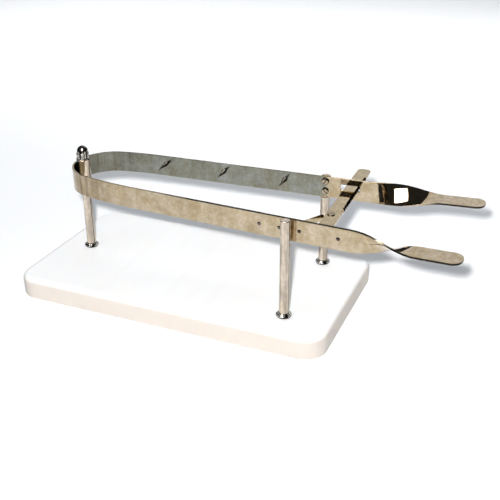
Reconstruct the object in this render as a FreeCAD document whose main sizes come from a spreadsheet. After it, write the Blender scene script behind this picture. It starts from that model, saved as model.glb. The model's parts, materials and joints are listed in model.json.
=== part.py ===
import FreeCAD, Part
import math
import os
import Sketcher

# Ham holder: a sprung steel strap, bent to a long U and twisted into two handles, stands on three
# posts over a thick cutting board. The front arm squeezes a ham against three spikes on the back
# arm, and a toothed latch bar holds it there.
# Millimetres, +Z up. The origin is the centre of the board's underside, +X runs along the board
# towards the handles, and the front arm is on the -Y side.

UP = FreeCAD.Vector(0, 0, 1)
FULL_TURN = 360
THROUGH = 400          # longer than any cut is deep
TWIST_SECTIONS = 7

SIZES = {
    # cutting board
    "board_length": 450,
    "board_width": 250,
    "board_thickness": 30,
    "board_corner_radius": 30,
    "board_top_radius": 8,
    "board_underside_radius": 2,
    # posts and their collars
    "post_diameter": 13,
    "side_post_x": 161,
    "side_post_y": 79.5,
    "post_above_strap": 1,
    "post_chamfer": 0.8,
    "collar_diameter": 20.5,
    "collar_neck_diameter": 15.5,
    "collar_height": 5.2,
    "collar_rim_height": 3.2,
    "collar_fit": 0.05,
    # bolts that pull the posts down on the board
    "bolt_diameter": 8,
    "bolt_thread_length": 14,
    "bolt_head_flats": 13,
    "bolt_head_height": 5.3,
    "bolt_hole_clearance": 0.3,
    "tapped_hole_spare": 3,
    "washer_diameter": 17,
    "washer_thickness": 1.6,
    "counterbore_diameter": 20,
    "counterbore_depth": 9,
    # strap
    "strap_lift": 103,
    "strap_height": 30,
    "strap_thickness": 2.5,
    "arm_splay": 3,
    "back_arm_offset": 69.55,
    "front_arm_offset": 60.5,
    "nose_centre_x": -136.5,
    "nose_centre_y": 6.3,
    "nose_radius": 52.3,
    "back_shoulder_radius": 300,
    "front_shoulder_radius": 450,
    "flex_turn": 50,
    "flex_gap": 0.6,
    # twisted handles
    "back_twist_start": 222,
    "back_twist_length": 101,
    "front_twist_start": 236,
    "front_twist_length": 88,
    "handle_tip_x": 375,
    "handle_rise": 1.5,
    "handle_tip_radius": 12,
    # nose post's upper end
    "sleeve_diameter": 19.5,
    "sleeve_above_strap": 5,
    "sleeve_below_strap": 2,
    "stud_diameter": 10,
    "stud_fit": 0.05,
    "nose_washer_diameter": 19,
    "nose_washer_thickness": 1.2,
    "dome_nut_flats": 17,
    "dome_nut_hex_height": 8,
    "dome_nut_height": 18,
    "dome_diameter": 16,
    "dome_nut_bore_depth": 14,
    "stud_end_gap": 2,
    # slotted screws
    "screw_diameter": 5,
    "screw_head_diameter": 10,
    "screw_head_height": 2.2,
    "screw_slot_width": 1.2,
    "screw_slot_depth": 1,
    "screw_rim_share": 0.6,
    "upper_slot_turn": 60,
    "lower_slot_turn": -45,
    "nose_slot_turn": 90,
    "stop_slot_turn": 40,
    "screw_fit": 0.05,
    "screw_tip_gap": 0.5,
    "back_screw_upper": 8.3,
    "back_screw_lower": -6,
    # spikes
    "spike_first_x": -79,
    "spike_pitch": 91,
    "spike_above_middle": 3,
    "spike_length": 25,
    "spike_diameter": 7,
    "spike_tip_diameter": 0.8,
    # rivets
    "rivet_diameter": 3.6,
    "rivet_fit": 0.05,
    "rivet_outer_diameter": 5,
    "rivet_outer_height": 0.5,
    "rivet_inner_diameter": 6,
    "rivet_inner_height": 1.2,
    # latch bracket and pin
    "latch_x": 201,
    "bracket_length": 62,
    "bracket_web": 2,
    "bracket_ear": 2,
    "bracket_rivet_spacing": 50,
    "bar_side_gap": 1.3,
    "bar_face_gap": 0.3,
    "pin_diameter": 5,
    "pin_fit": 0.05,
    "pin_head_diameter": 8,
    "ear_rim": 2,
    "pin_head_height": 1.4,
    "pin_end_play": 0.1,
    # latch bar
    "bar_thickness": 3,
    "bar_width": 18.9,
    "bar_reach": 215,
    "bar_tab_radius": 7,
    "bar_tilt": 1.7,
    "tooth_pitch": 8.6,
    "tooth_depth": 3,
    "tooth_undercut": 0.8,
    "tooth_tip": 1.2,
    "tooth_wall_gap": 0.8,
    "stop_screw_reach": 46,
    "stop_screw_offset": -2.8,
    "stop_nut_flats": 8,
    "stop_nut_height": 4,
    # slot in the back arm
    "slot_tooth_gap": 2.8,
    "slot_back_gap": 6,
    "slot_under_gap": 0.4,
    "slot_over_gap": 4.8,
    "slot_corner_radius": 2,
    # leaf spring behind the latch bar
    "leaf_thickness": 1,
    "leaf_height": 9,
    "leaf_start_x": 113,
    "leaf_bend_x": 153,
    "leaf_bend_radius": 16,
    "leaf_touch_reach": 38,
    "leaf_touch_gap": 0.8,
    "leaf_first_rivet_x": 122,
    "leaf_rivet_spacing": 27.5,
    # how far cuts and hidden outlines run past the faces they cross
    "cut_margin": 1,
    "short_cut": 10,
}
TEETH_BEFORE_SLOT = 9
TEETH_AFTER_SLOT = 5
SPIKES = 3

# Places that follow from the sizes. An arm's own frame has x along the arm and y square to it:
# the back arm's y points outwards, the front arm's y points inwards, both towards +Y.
PLACES = {
    "strap_bottom": "sizes.board_thickness + sizes.strap_lift",
    "strap_middle": "strap_bottom + sizes.strap_height / 2",
    "strap_half": "sizes.strap_thickness / 2",
    "post_radius": "sizes.post_diameter / 2",
    "stud_radius": "sizes.stud_diameter / 2",
    "side_post_length": "sizes.strap_lift + sizes.strap_height + sizes.post_above_strap",
    "tapped_depth": "sizes.bolt_thread_length + sizes.tapped_hole_spare",
    # half of the gap at the flexing place, as an angle at the nose's centre
    "flex_half_gap": "sizes.flex_gap / 2 / sizes.nose_radius * 180 / pi",
    "flex_x": "sizes.nose_centre_x - sizes.nose_radius * cos(sizes.flex_turn)",
    "flex_y": "sizes.nose_centre_y - sizes.nose_radius * sin(sizes.flex_turn)",
    # back arm, in its own frame
    "back_nose_x": "sizes.nose_centre_x * cos(sizes.arm_splay)"
                   " + (sizes.nose_centre_y - sizes.back_arm_offset) * sin(sizes.arm_splay)",
    "back_nose_y": "(sizes.nose_centre_y - sizes.back_arm_offset) * cos(sizes.arm_splay)"
                   " - sizes.nose_centre_x * sin(sizes.arm_splay)",
    "back_inner_radius": "sizes.back_shoulder_radius - sizes.nose_radius",
    "back_shoulder_x": "back_nose_x + sqrt(back_inner_radius ^ 2"
                       " - (sizes.back_shoulder_radius + back_nose_y) ^ 2)",
    "back_joint_x": "back_nose_x + sizes.nose_radius * (back_nose_x - back_shoulder_x)"
                    " / back_inner_radius",
    "back_joint_y": "back_nose_y + sizes.nose_radius * (back_nose_y + sizes.back_shoulder_radius)"
                    " / back_inner_radius",
    "back_end_angle": "180 + sizes.flex_turn - flex_half_gap - sizes.arm_splay",
    "back_end_x": "back_nose_x + sizes.nose_radius * cos(back_end_angle)",
    "back_end_y": "back_nose_y + sizes.nose_radius * sin(back_end_angle)",
    # front arm, in its own frame
    "front_nose_x": "sizes.nose_centre_x * cos(sizes.arm_splay)"
                    " - (sizes.nose_centre_y + sizes.front_arm_offset) * sin(sizes.arm_splay)",
    "front_nose_y": "(sizes.nose_centre_y + sizes.front_arm_offset) * cos(sizes.arm_splay)"
                    " + sizes.nose_centre_x * sin(sizes.arm_splay)",
    "front_inner_radius": "sizes.front_shoulder_radius - sizes.nose_radius",
    "front_shoulder_x": "front_nose_x + sqrt(front_inner_radius ^ 2"
                        " - (sizes.front_shoulder_radius - front_nose_y) ^ 2)",
    "front_joint_x": "front_nose_x + sizes.nose_radius * (front_nose_x - front_shoulder_x)"
                     " / front_inner_radius",
    "front_joint_y": "front_nose_y + sizes.nose_radius"
                     " * (front_nose_y - sizes.front_shoulder_radius) / front_inner_radius",
    "front_end_angle": "180 + sizes.flex_turn + flex_half_gap + sizes.arm_splay",
    "front_end_x": "front_nose_x + sizes.nose_radius * cos(front_end_angle)",
    "front_end_y": "front_nose_y + sizes.nose_radius * sin(front_end_angle)",
    # nose post: its sleeve touches the strap from inside, level with the board's middle line
    "nose_post_reach": "sizes.nose_radius - strap_half - sizes.sleeve_diameter / 2",
    "nose_post_x": "sizes.nose_centre_x - sqrt(nose_post_reach ^ 2 - sizes.nose_centre_y ^ 2)",
    "nose_screw_turn": "180 + asin(sizes.nose_centre_y / nose_post_reach) / 1deg",
    "nose_screw_x": "sizes.nose_centre_x"
                    " + (sizes.nose_radius + strap_half) * cos(nose_screw_turn)",
    "nose_screw_y": "sizes.nose_centre_y"
                    " + (sizes.nose_radius + strap_half) * sin(nose_screw_turn)",
    "sleeve_bottom": "strap_bottom - sizes.sleeve_below_strap",
    "sleeve_length": "sizes.strap_height + sizes.sleeve_above_strap + sizes.sleeve_below_strap",
    "nut_bottom": "sleeve_bottom + sleeve_length + sizes.nose_washer_thickness",
    "stud_length": "sleeve_length + sizes.nose_washer_thickness + sizes.dome_nut_bore_depth"
                   " - sizes.stud_end_gap",
    "sleeve_wall": "sizes.sleeve_diameter / 2 - stud_radius - sizes.stud_fit",
    # back post's seat, measured in the back arm's frame
    "back_post_x": "sizes.side_post_x * cos(sizes.arm_splay)"
                   " + (sizes.side_post_y - sizes.back_arm_offset) * sin(sizes.arm_splay)",
    "back_post_y": "(sizes.side_post_y - sizes.back_arm_offset) * cos(sizes.arm_splay)"
                   " - sizes.side_post_x * sin(sizes.arm_splay)",
    # latch pivot, in the front arm's frame and in the row's
    "bar_end_radius": "sizes.bar_width / 2",
    "pivot_reach": "strap_half + sizes.bracket_web + sizes.bar_side_gap + bar_end_radius",
    "pivot_x": "sizes.latch_x * cos(sizes.arm_splay) + pivot_reach * sin(sizes.arm_splay)",
    "pivot_y": "pivot_reach * cos(sizes.arm_splay) - sizes.latch_x * sin(sizes.arm_splay)"
               " - sizes.front_arm_offset",
    "bracket_height": "sizes.bar_thickness + 2 * sizes.bar_face_gap + 2 * sizes.bracket_ear",
    # where the bar's middle line and toothed edge cross the back arm, in the back arm's frame
    "pivot_back_x": "pivot_x * cos(sizes.arm_splay)"
                    " + (pivot_y - sizes.back_arm_offset) * sin(sizes.arm_splay)",
    "pivot_back_y": "(pivot_y - sizes.back_arm_offset) * cos(sizes.arm_splay)"
                    " - pivot_x * sin(sizes.arm_splay)",
    "bar_lean": "sizes.bar_tilt - sizes.arm_splay",
    "slot_bar_x": "pivot_back_x + pivot_back_y * tan(bar_lean)",
    "slot_left_x": "slot_bar_x - bar_end_radius - sizes.slot_back_gap",
    "slot_right_x": "slot_bar_x + bar_end_radius + sizes.slot_tooth_gap",
    "slot_bottom_z": "-sizes.bar_thickness / 2 - sizes.slot_under_gap",
    "slot_top_z": "sizes.bar_thickness / 2 + sizes.slot_over_gap",
    "tooth_at_slot": "(strap_half + sizes.tooth_wall_gap - pivot_back_y"
                     " + bar_end_radius * sin(-bar_lean)) / cos(bar_lean)",
    # leaf spring, in the front arm's frame
    "leaf_middle_y": "strap_half + sizes.leaf_thickness / 2",
    "leaf_lean": "sizes.bar_tilt + sizes.arm_splay",
    "leaf_tip_x": "sizes.latch_x - (bar_end_radius + sizes.leaf_touch_gap) * cos(leaf_lean)"
                  " - sizes.leaf_touch_reach * sin(leaf_lean)",
    "leaf_tip_y": "pivot_reach - (bar_end_radius + sizes.leaf_touch_gap) * sin(leaf_lean)"
                  " + sizes.leaf_touch_reach * cos(leaf_lean)",
    "leaf_from_x": "leaf_tip_x - sizes.leaf_bend_x",
    "leaf_from_y": "leaf_tip_y - leaf_middle_y - sizes.leaf_bend_radius",
    "leaf_straight": "sqrt(leaf_from_x ^ 2 + leaf_from_y ^ 2 - sizes.leaf_bend_radius ^ 2)",
    "leaf_turn": "(atan2(leaf_from_y; leaf_from_x)"
                 " + atan2(sizes.leaf_bend_radius; leaf_straight)) / 1deg",
    "leaf_arc_x": "sizes.leaf_bend_x + sizes.leaf_bend_radius * sin(leaf_turn)",
    "leaf_arc_y": "leaf_middle_y + sizes.leaf_bend_radius * (1 - cos(leaf_turn))",
}

doc = FreeCAD.newDocument("ham_holder")


def fill_sheet(name, cells, prefix):
    """Writes one value or formula a row, with its name beside it as label and alias."""
    sheet = doc.addObject("Spreadsheet::Sheet", name)
    for row, (alias, value) in enumerate(cells.items(), start=1):
        sheet.set("A%d" % row, alias)
        sheet.set("B%d" % row, prefix + str(value))
        sheet.setAlias("B%d" % row, alias)
    return sheet


sizes = fill_sheet("sizes", SIZES, "")
places = fill_sheet("places", PLACES, "=")
doc.recompute()


def number(expression):
    """The expression's present value as a plain float."""
    value = places.evalExpression(expression)
    return float(getattr(value, "Value", value))


def spot(x, y):
    return FreeCAD.Vector(number(x), number(y), 0)


# Sketch helpers: every vertex, centre and radius is tied to the sheets.

def bind(sketch, kind, where, expression):
    index = sketch.addConstraint(Sketcher.Constraint(kind, *where, number(expression)))
    sketch.setExpression("Constraints[%d]" % index, expression)


def pin_point(sketch, geometry, end, x, y):
    bind(sketch, "DistanceX", (-1, 1, geometry, end), x)
    bind(sketch, "DistanceY", (-1, 1, geometry, end), y)


def add_circle(sketch, x, y, radius):
    circle = sketch.addGeometry(Part.Circle(spot(x, y), UP, number(radius)))
    pin_point(sketch, circle, 3, x, y)
    bind(sketch, "Radius", (circle,), radius)


def add_chain(sketch, start, steps):
    """Draws lines and arcs end to end, and closes the outline if it comes back to its start.

    A step is (x, y) for a line, or (x, y, centre_x, centre_y, turn) for an arc, where turn is
    +1 anticlockwise or -1 clockwise. Both ends of an arc are tied, and then its centre can only
    move square to the chord, so one more tie holds it.
    """
    first = None
    before = None
    here = start
    for step in steps:
        there = step[:2]
        begin, end = 1, 2
        if len(step) == 2:
            piece = sketch.addGeometry(Part.LineSegment(spot(*here), spot(*there)))
        else:
            centre_x, centre_y, turn = step[2:]
            centre = spot(centre_x, centre_y)
            radius = centre.distanceToPoint(spot(*here))
            from_angle, to_angle = (
                math.atan2(offset.y, offset.x)
                for offset in (spot(*here) - centre, spot(*there) - centre)
            )
            if turn < 0:
                from_angle, to_angle = to_angle, from_angle
                begin, end = 2, 1
            if to_angle < from_angle:
                to_angle += 2 * math.pi
            circle = Part.Circle(centre, UP, radius)
            piece = sketch.addGeometry(Part.ArcOfCircle(circle, from_angle, to_angle))
            chord = spot(*there) - spot(*here)
            if abs(chord.x) > abs(chord.y):
                bind(sketch, "DistanceY", (-1, 1, piece, 3), centre_y)
            else:
                bind(sketch, "DistanceX", (-1, 1, piece, 3), centre_x)
        if before is None:
            pin_point(sketch, piece, begin, *here)
            first = (piece, begin)
        else:
            sketch.addConstraint(Sketcher.Constraint("Coincident", *before, piece, begin))
        if there == start:
            sketch.addConstraint(Sketcher.Constraint("Coincident", piece, end, *first))
        else:
            pin_point(sketch, piece, end, *there)
        before = (piece, end)
        here = there


def add_polygon(sketch, corners):
    add_chain(sketch, corners[0], corners[1:] + corners[:1])


def add_rectangle(sketch, left, bottom, right, top):
    add_polygon(sketch, [(left, bottom), (right, bottom), (right, top), (left, top)])


def add_rounded_rectangle(sketch, left, bottom, right, top, radius):
    inner_left, inner_bottom = "%s + %s" % (left, radius), "%s + %s" % (bottom, radius)
    inner_right, inner_top = "%s - %s" % (right, radius), "%s - %s" % (top, radius)
    add_chain(sketch, (inner_left, bottom), [
        (inner_right, bottom),
        (right, inner_bottom, inner_right, inner_bottom, 1),
        (right, inner_top),
        (inner_right, top, inner_right, inner_top, 1),
        (inner_left, top),
        (left, inner_top, inner_left, inner_top, 1),
        (left, inner_bottom),
        (inner_left, bottom, inner_left, inner_bottom, 1),
    ])


def add_hexagon(sketch, flats):
    """A hexagon about the origin, with two corners on the sketch's own x axis."""
    corner = "(%s) / sqrt(3)" % flats
    add_polygon(sketch, [
        ("%s * cos(%d)" % (corner, turn), "%s * sin(%d)" % (corner, turn))
        for turn in range(0, FULL_TURN, 60)
    ])


# Body helpers.

def new_body(label, x="0", y="0", z="0", yaw="0", roll="0"):
    """A body whose placement is tied to the sheets: turned by roll about X, then yaw about Z."""
    body = doc.addObject("PartDesign::Body", label)
    body.Label = label
    body.setExpression(
        "Placement",
        "create(<<placement>>; create(<<vector>>; %s; %s; %s); create(<<rotation>>; %s; 0; %s))"
        % (x, y, z, yaw, roll),
    )
    return body


def back_arm_body(label, x="0", y="0", z="places.strap_middle", yaw="0", roll="0"):
    """A body placed by its x and y in the back arm's frame."""
    return new_body(
        label,
        "(%s) * cos(sizes.arm_splay) - (%s) * sin(sizes.arm_splay)" % (x, y),
        "sizes.back_arm_offset + (%s) * sin(sizes.arm_splay) + (%s) * cos(sizes.arm_splay)"
        % (x, y),
        z, "sizes.arm_splay + %s" % yaw, roll,
    )


def front_arm_body(label, x="0", y="0", z="places.strap_middle", yaw="0", roll="0"):
    """A body placed by its x and y in the front arm's frame."""
    return new_body(
        label,
        "(%s) * cos(sizes.arm_splay) + (%s) * sin(sizes.arm_splay)" % (x, y),
        "(%s) * cos(sizes.arm_splay) - (%s) * sin(sizes.arm_splay) - sizes.front_arm_offset"
        % (y, x),
        z, "%s - sizes.arm_splay" % yaw, roll,
    )


def new_sketch(body, plane="XY_Plane", x="0", y="0", z="0", rotation="0; 0; 0"):
    """A sketch on one of the body's own planes.

    x, y and z move it in the plane's frame, where z is the plane's normal, and rotation turns it
    there by yaw, pitch and roll.
    """
    sketch = body.newObject("Sketcher::SketchObject", body.Name + "_sketch")
    origin_plane = next(item for item in body.Origin.OriginFeatures if item.Role == plane)
    sketch.AttachmentSupport = [(origin_plane, "")]
    sketch.MapMode = "FlatFace"
    sketch.setExpression(
        "AttachmentOffset",
        "create(<<placement>>; create(<<vector>>; %s; %s; %s); create(<<rotation>>; %s))"
        % (x, y, z, rotation),
    )
    return sketch


def settle(body, grows):
    """Recomputes and makes sure that the newest feature added or removed material."""
    before = body.Group[-1].BaseFeature
    doc.recompute()
    volume = body.Shape.Volume
    if before is not None:
        change = volume - before.Shape.Volume
        if (change > 0) != grows or abs(change) < 1e-6:
            raise ValueError("%s changed nothing in %s" % (body.Group[-1].Name, body.Label))
    elif volume <= 0:
        raise ValueError("%s made no solid in %s" % (body.Group[-1].Name, body.Label))


def pad(body, sketch, length, both_ways=False, downwards=False):
    feature = body.newObject("PartDesign::Pad", body.Name + "_pad")
    feature.Profile = sketch
    feature.SideType = "Symmetric" if both_ways else "One side"
    feature.Reversed = downwards
    feature.setExpression("Length", length)
    settle(body, grows=True)


def cut(body, sketch, length=str(THROUGH), both_ways=True, upwards=False):
    feature = body.newObject("PartDesign::Pocket", body.Name + "_pocket")
    feature.Profile = sketch
    feature.SideType = "Symmetric" if both_ways else "One side"
    feature.Reversed = upwards
    feature.setExpression("Length", length)
    settle(body, grows=False)
    return feature


def revolve(body, corners):
    """Turns an outline of (radius, height) corners about the body's own Z."""
    sketch = new_sketch(body, "XZ_Plane")
    add_polygon(sketch, corners)
    feature = body.newObject("PartDesign::Revolution", body.Name + "_revolution")
    feature.Profile = sketch
    feature.ReferenceAxis = (sketch, ["V_Axis"])
    feature.Angle = FULL_TURN
    settle(body, grows=True)


def cut_bore(body, radius, depth, bottom="0"):
    """A round hole upwards from the given height of the body's own Z axis."""
    sketch = new_sketch(body, z=bottom)
    add_circle(sketch, "0", "0", radius)
    cut(body, sketch, depth, both_ways=False, upwards=True)


def sweep_strip(body, start, steps, thickness, height):
    """Carries an upright rectangle along a flat path that sets out from start along -X or +X."""
    path = new_sketch(body)
    add_chain(path, start, steps)
    section = new_sketch(body, "YZ_Plane", x=start[1], z=start[0])
    add_rectangle(
        section,
        "-%s / 2" % thickness, "-%s / 2" % height, "%s / 2" % thickness, "%s / 2" % height,
    )
    feature = body.newObject("PartDesign::AdditivePipe", body.Name + "_pipe")
    feature.Profile = section
    feature.Spine = (path, ["Edge%d" % (edge + 1) for edge in range(len(steps))])
    settle(body, grows=True)
    swept = number("%s * %s" % (thickness, height)) * path.Shape.Length
    if abs(body.Shape.Volume - swept) > 0.02 * swept:
        raise ValueError("%s is not its section times its length" % body.Label)


def fillet(body, radius, chosen):
    """Rounds the edges of the newest feature for which chosen(edge) is true."""
    base = body.Tip
    names = ["Edge%d" % (i + 1) for i, edge in enumerate(base.Shape.Edges) if chosen(edge)]
    feature = body.newObject("PartDesign::Fillet", body.Name + "_fillet")
    feature.Base = (base, names)
    feature.setExpression("Radius", radius)
    doc.recompute()


def is_upright(edge):
    return abs(edge.tangentAt(edge.FirstParameter).z) > 0.99


def lies_at(edge, height):
    return edge.BoundBox.ZLength < 1e-6 and abs(edge.BoundBox.ZMin - height) < 1e-6


# Cutting board and its posts.

POST_SPOTS = {
    "nose": ("places.nose_post_x", "0"),
    "front": ("sizes.side_post_x", "-sizes.side_post_y"),
    "back": ("sizes.side_post_x", "sizes.side_post_y"),
}


def make_board():
    body = new_body("cutting_board")
    outline = new_sketch(body)
    add_rectangle(
        outline,
        "-sizes.board_length / 2", "-sizes.board_width / 2",
        "sizes.board_length / 2", "sizes.board_width / 2",
    )
    pad(body, outline, "sizes.board_thickness")
    fillet(body, "sizes.board_corner_radius", is_upright)
    top = number("sizes.board_thickness")
    fillet(body, "sizes.board_top_radius", lambda edge: lies_at(edge, top))
    fillet(body, "sizes.board_underside_radius", lambda edge: lies_at(edge, 0))
    for x, y in POST_SPOTS.values():
        for radius, depth in (
            ("sizes.counterbore_diameter / 2", "sizes.counterbore_depth"),
            ("sizes.bolt_diameter / 2 + sizes.bolt_hole_clearance", "sizes.board_thickness + sizes.cut_margin"),
        ):
            hole = new_sketch(body)
            add_circle(hole, x, y, radius)
            cut(body, hole, depth, both_ways=False, upwards=True)


def make_post_bottom(name):
    """Collar, washer and bolt that hold one post on the board."""
    x, y = POST_SPOTS[name]
    collar = new_body(name + "_collar", x, y, "sizes.board_thickness")
    bore = "places.post_radius + sizes.collar_fit"
    revolve(collar, [
        (bore, "0"),
        ("sizes.collar_diameter / 2", "0"),
        ("sizes.collar_diameter / 2", "sizes.collar_rim_height"),
        ("sizes.collar_neck_diameter / 2", "sizes.collar_height"),
        (bore, "sizes.collar_height"),
    ])
    washer = new_body(name + "_bolt_washer", x, y, "sizes.counterbore_depth")
    revolve(washer, [
        ("sizes.bolt_diameter / 2 + sizes.bolt_hole_clearance", "-sizes.washer_thickness"),
        ("sizes.washer_diameter / 2", "-sizes.washer_thickness"),
        ("sizes.washer_diameter / 2", "0"),
        ("sizes.bolt_diameter / 2 + sizes.bolt_hole_clearance", "0"),
    ])
    head_top = "sizes.counterbore_depth - sizes.washer_thickness"
    bolt = new_body(name + "_bolt", x, y, head_top)
    head = new_sketch(bolt)
    add_hexagon(head, "sizes.bolt_head_flats")
    pad(bolt, head, "sizes.bolt_head_height", downwards=True)
    shank = new_sketch(bolt)
    add_circle(shank, "0", "0", "sizes.bolt_diameter / 2")
    pad(bolt, shank, "sizes.board_thickness - (%s) + sizes.bolt_thread_length" % head_top)


def make_nose_post():
    """Rod with a shoulder that carries the sleeve, and a stud that carries the dome nut."""
    body = new_body("nose_post", *POST_SPOTS["nose"], "sizes.board_thickness")
    shoulder = "places.sleeve_bottom - sizes.board_thickness"
    revolve(body, [
        ("0", "0"),
        ("places.post_radius", "0"),
        ("places.post_radius", shoulder),
        ("places.stud_radius", shoulder),
        ("places.stud_radius", "%s + places.stud_length" % shoulder),
        ("0", "%s + places.stud_length" % shoulder),
    ])
    cut_bore(body, "sizes.bolt_diameter / 2", "places.tapped_depth")


def make_side_post(name):
    body = new_body(name + "_post", *POST_SPOTS[name], "sizes.board_thickness")
    revolve(body, [
        ("0", "0"),
        ("places.post_radius", "0"),
        ("places.post_radius", "places.side_post_length - sizes.post_chamfer"),
        ("places.post_radius - sizes.post_chamfer", "places.side_post_length"),
        ("0", "places.side_post_length"),
    ])
    cut_bore(body, "sizes.bolt_diameter / 2", "places.tapped_depth")
    return body


def make_back_post():
    """Side post with a flat seat milled for the strap and two tapped holes behind it."""
    body = make_side_post("back")
    seat = new_sketch(
        body, z="places.strap_bottom - sizes.board_thickness", rotation="sizes.arm_splay; 0; 0")
    face = "places.strap_half - places.back_post_y"
    add_rectangle(
        seat, "-sizes.post_diameter", "-sizes.post_diameter", "sizes.post_diameter", face)
    cut(body, seat, both_ways=False, upwards=True)
    for rise in ("sizes.back_screw_upper", "sizes.back_screw_lower"):
        hole = new_sketch(body, "XZ_Plane", rotation="0; sizes.arm_splay; 0")
        add_circle(
            hole, "0", "places.strap_middle - sizes.board_thickness + %s" % rise,
            "sizes.screw_diameter / 2")
        cut(body, hole, "sizes.post_diameter - 2 * sizes.screw_tip_gap")


# Slotted screws: the body's Z points out of the head, and its origin is under the head.

def make_screw(body, length, slot_turn):
    head_top = "sizes.screw_head_height"
    revolve(body, [
        ("0", "-(%s)" % length),
        ("sizes.screw_diameter / 2", "-(%s)" % length),
        ("sizes.screw_diameter / 2", "0"),
        ("sizes.screw_head_diameter / 2", "0"),
        ("sizes.screw_head_diameter / 2", "%s * sizes.screw_rim_share" % head_top),
        ("sizes.screw_head_diameter / 2 - %s * (1 - sizes.screw_rim_share)" % head_top, head_top),
        ("0", head_top),
    ])
    slot = new_sketch(body, z=head_top, rotation="%s; 0; 0" % slot_turn)
    add_rectangle(
        slot,
        "-sizes.screw_head_diameter", "-sizes.screw_slot_width / 2",
        "sizes.screw_head_diameter", "sizes.screw_slot_width / 2",
    )
    cut(body, slot, "sizes.screw_slot_depth", both_ways=False)


def make_back_post_screws():
    length = "sizes.strap_thickness + places.post_radius - sizes.screw_tip_gap * 2"
    length += " - (places.strap_half - places.back_post_y)"
    for name, rise, slot_turn in (
        ("upper_post_screw", "sizes.back_screw_upper", "sizes.upper_slot_turn"),
        ("lower_post_screw", "sizes.back_screw_lower", "sizes.lower_slot_turn"),
    ):
        body = back_arm_body(
            name, "places.back_post_x", "-places.strap_half",
            "places.strap_middle + %s" % rise, roll="90",
        )
        make_screw(body, length, slot_turn)


# Nose post's upper end.

def make_nose_top():
    bore = "places.stud_radius + sizes.stud_fit"
    sleeve = new_body("nose_sleeve", *POST_SPOTS["nose"], "places.sleeve_bottom")
    revolve(sleeve, [
        (bore, "0"),
        ("sizes.sleeve_diameter / 2", "0"),
        ("sizes.sleeve_diameter / 2", "places.sleeve_length"),
        (bore, "places.sleeve_length"),
    ])
    hole = new_sketch(
        sleeve, "YZ_Plane", y="places.strap_middle - places.sleeve_bottom",
        rotation="0; places.nose_screw_turn - 180; 0")
    add_circle(hole, "0", "0", "sizes.screw_diameter / 2")
    cut(sleeve, hole, "sizes.sleeve_diameter", both_ways=False)

    washer = new_body("nose_washer", *POST_SPOTS["nose"],
                      "places.nut_bottom - sizes.nose_washer_thickness")
    revolve(washer, [
        (bore, "0"),
        ("sizes.nose_washer_diameter / 2", "0"),
        ("sizes.nose_washer_diameter / 2", "sizes.nose_washer_thickness"),
        (bore, "sizes.nose_washer_thickness"),
    ])

    screw = new_body(
        "nose_screw", "places.nose_screw_x", "places.nose_screw_y", "places.strap_middle",
        yaw="places.nose_screw_turn + 90", roll="90",
    )
    make_screw(screw, "sizes.strap_thickness + places.sleeve_wall - sizes.stud_fit * 2", "sizes.nose_slot_turn")


def make_dome_nut():
    body = new_body("dome_nut", *POST_SPOTS["nose"], "places.nut_bottom")
    hexagon = new_sketch(body)
    add_hexagon(hexagon, "sizes.dome_nut_flats")
    pad(body, hexagon, "sizes.dome_nut_hex_height")
    dome = new_sketch(body, "XZ_Plane")
    spring_line = "sizes.dome_nut_height - sizes.dome_diameter / 2"
    radius = "sizes.dome_diameter / 2"
    add_chain(dome, ("0", "sizes.cut_margin"), [
        (radius, "sizes.cut_margin"),
        (radius, spring_line),
        ("0", "sizes.dome_nut_height", "0", spring_line, 1),
        ("0", "sizes.cut_margin"),
    ])
    feature = body.newObject("PartDesign::Revolution", "dome")
    feature.Profile = dome
    feature.ReferenceAxis = (dome, ["V_Axis"])
    feature.Angle = FULL_TURN
    settle(body, grows=True)
    cut_bore(body, "places.stud_radius + sizes.stud_fit", "sizes.dome_nut_bore_depth")


# Strap: each arm is one body in its own frame, with its strip's middle plane at y = 0.

def twist_handle(body, start, length, turn):
    """Twists the strip by a quarter turn and ends it in a flat paddle with a rounded tip."""
    sections = []
    for index in range(TWIST_SECTIONS):
        share = index / (TWIST_SECTIONS - 1)
        section = new_sketch(
            body, "YZ_Plane",
            y="%s * %.6f * tan(sizes.handle_rise)" % (length, share),
            z="%s + %s * %.6f" % (start, length, share),
            rotation="%.6f; 0; 0" % (turn * share * share * (3 - 2 * share)),
        )
        add_rectangle(
            section,
            "-places.strap_half", "-sizes.strap_height / 2",
            "places.strap_half", "sizes.strap_height / 2",
        )
        sections.append(section)
    loft = body.newObject("PartDesign::AdditiveLoft", body.Name + "_twist")
    loft.Profile = sections[0]
    loft.Sections = sections[1:]
    settle(body, grows=True)

    paddle = new_sketch(
        body, x="%s + %s" % (start, length), z="%s * tan(sizes.handle_rise)" % length,
        rotation="0; -sizes.handle_rise; 0")
    reach = "(sizes.handle_tip_x - %s - %s) / cos(sizes.handle_rise)" % (start, length)
    half, radius = "sizes.strap_height / 2", "sizes.handle_tip_radius"
    add_chain(paddle, ("0", "-" + half), [
        ("%s - %s" % (reach, radius), "-" + half),
        (reach, "-%s + %s" % (half, radius),
         "%s - %s" % (reach, radius), "-%s + %s" % (half, radius), 1),
        (reach, "%s - %s" % (half, radius)),
        ("%s - %s" % (reach, radius), half,
         "%s - %s" % (reach, radius), "%s - %s" % (half, radius), 1),
        ("0", half),
        ("0", "-" + half),
    ])
    pad(body, paddle, "sizes.strap_thickness", both_ways=True)


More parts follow.
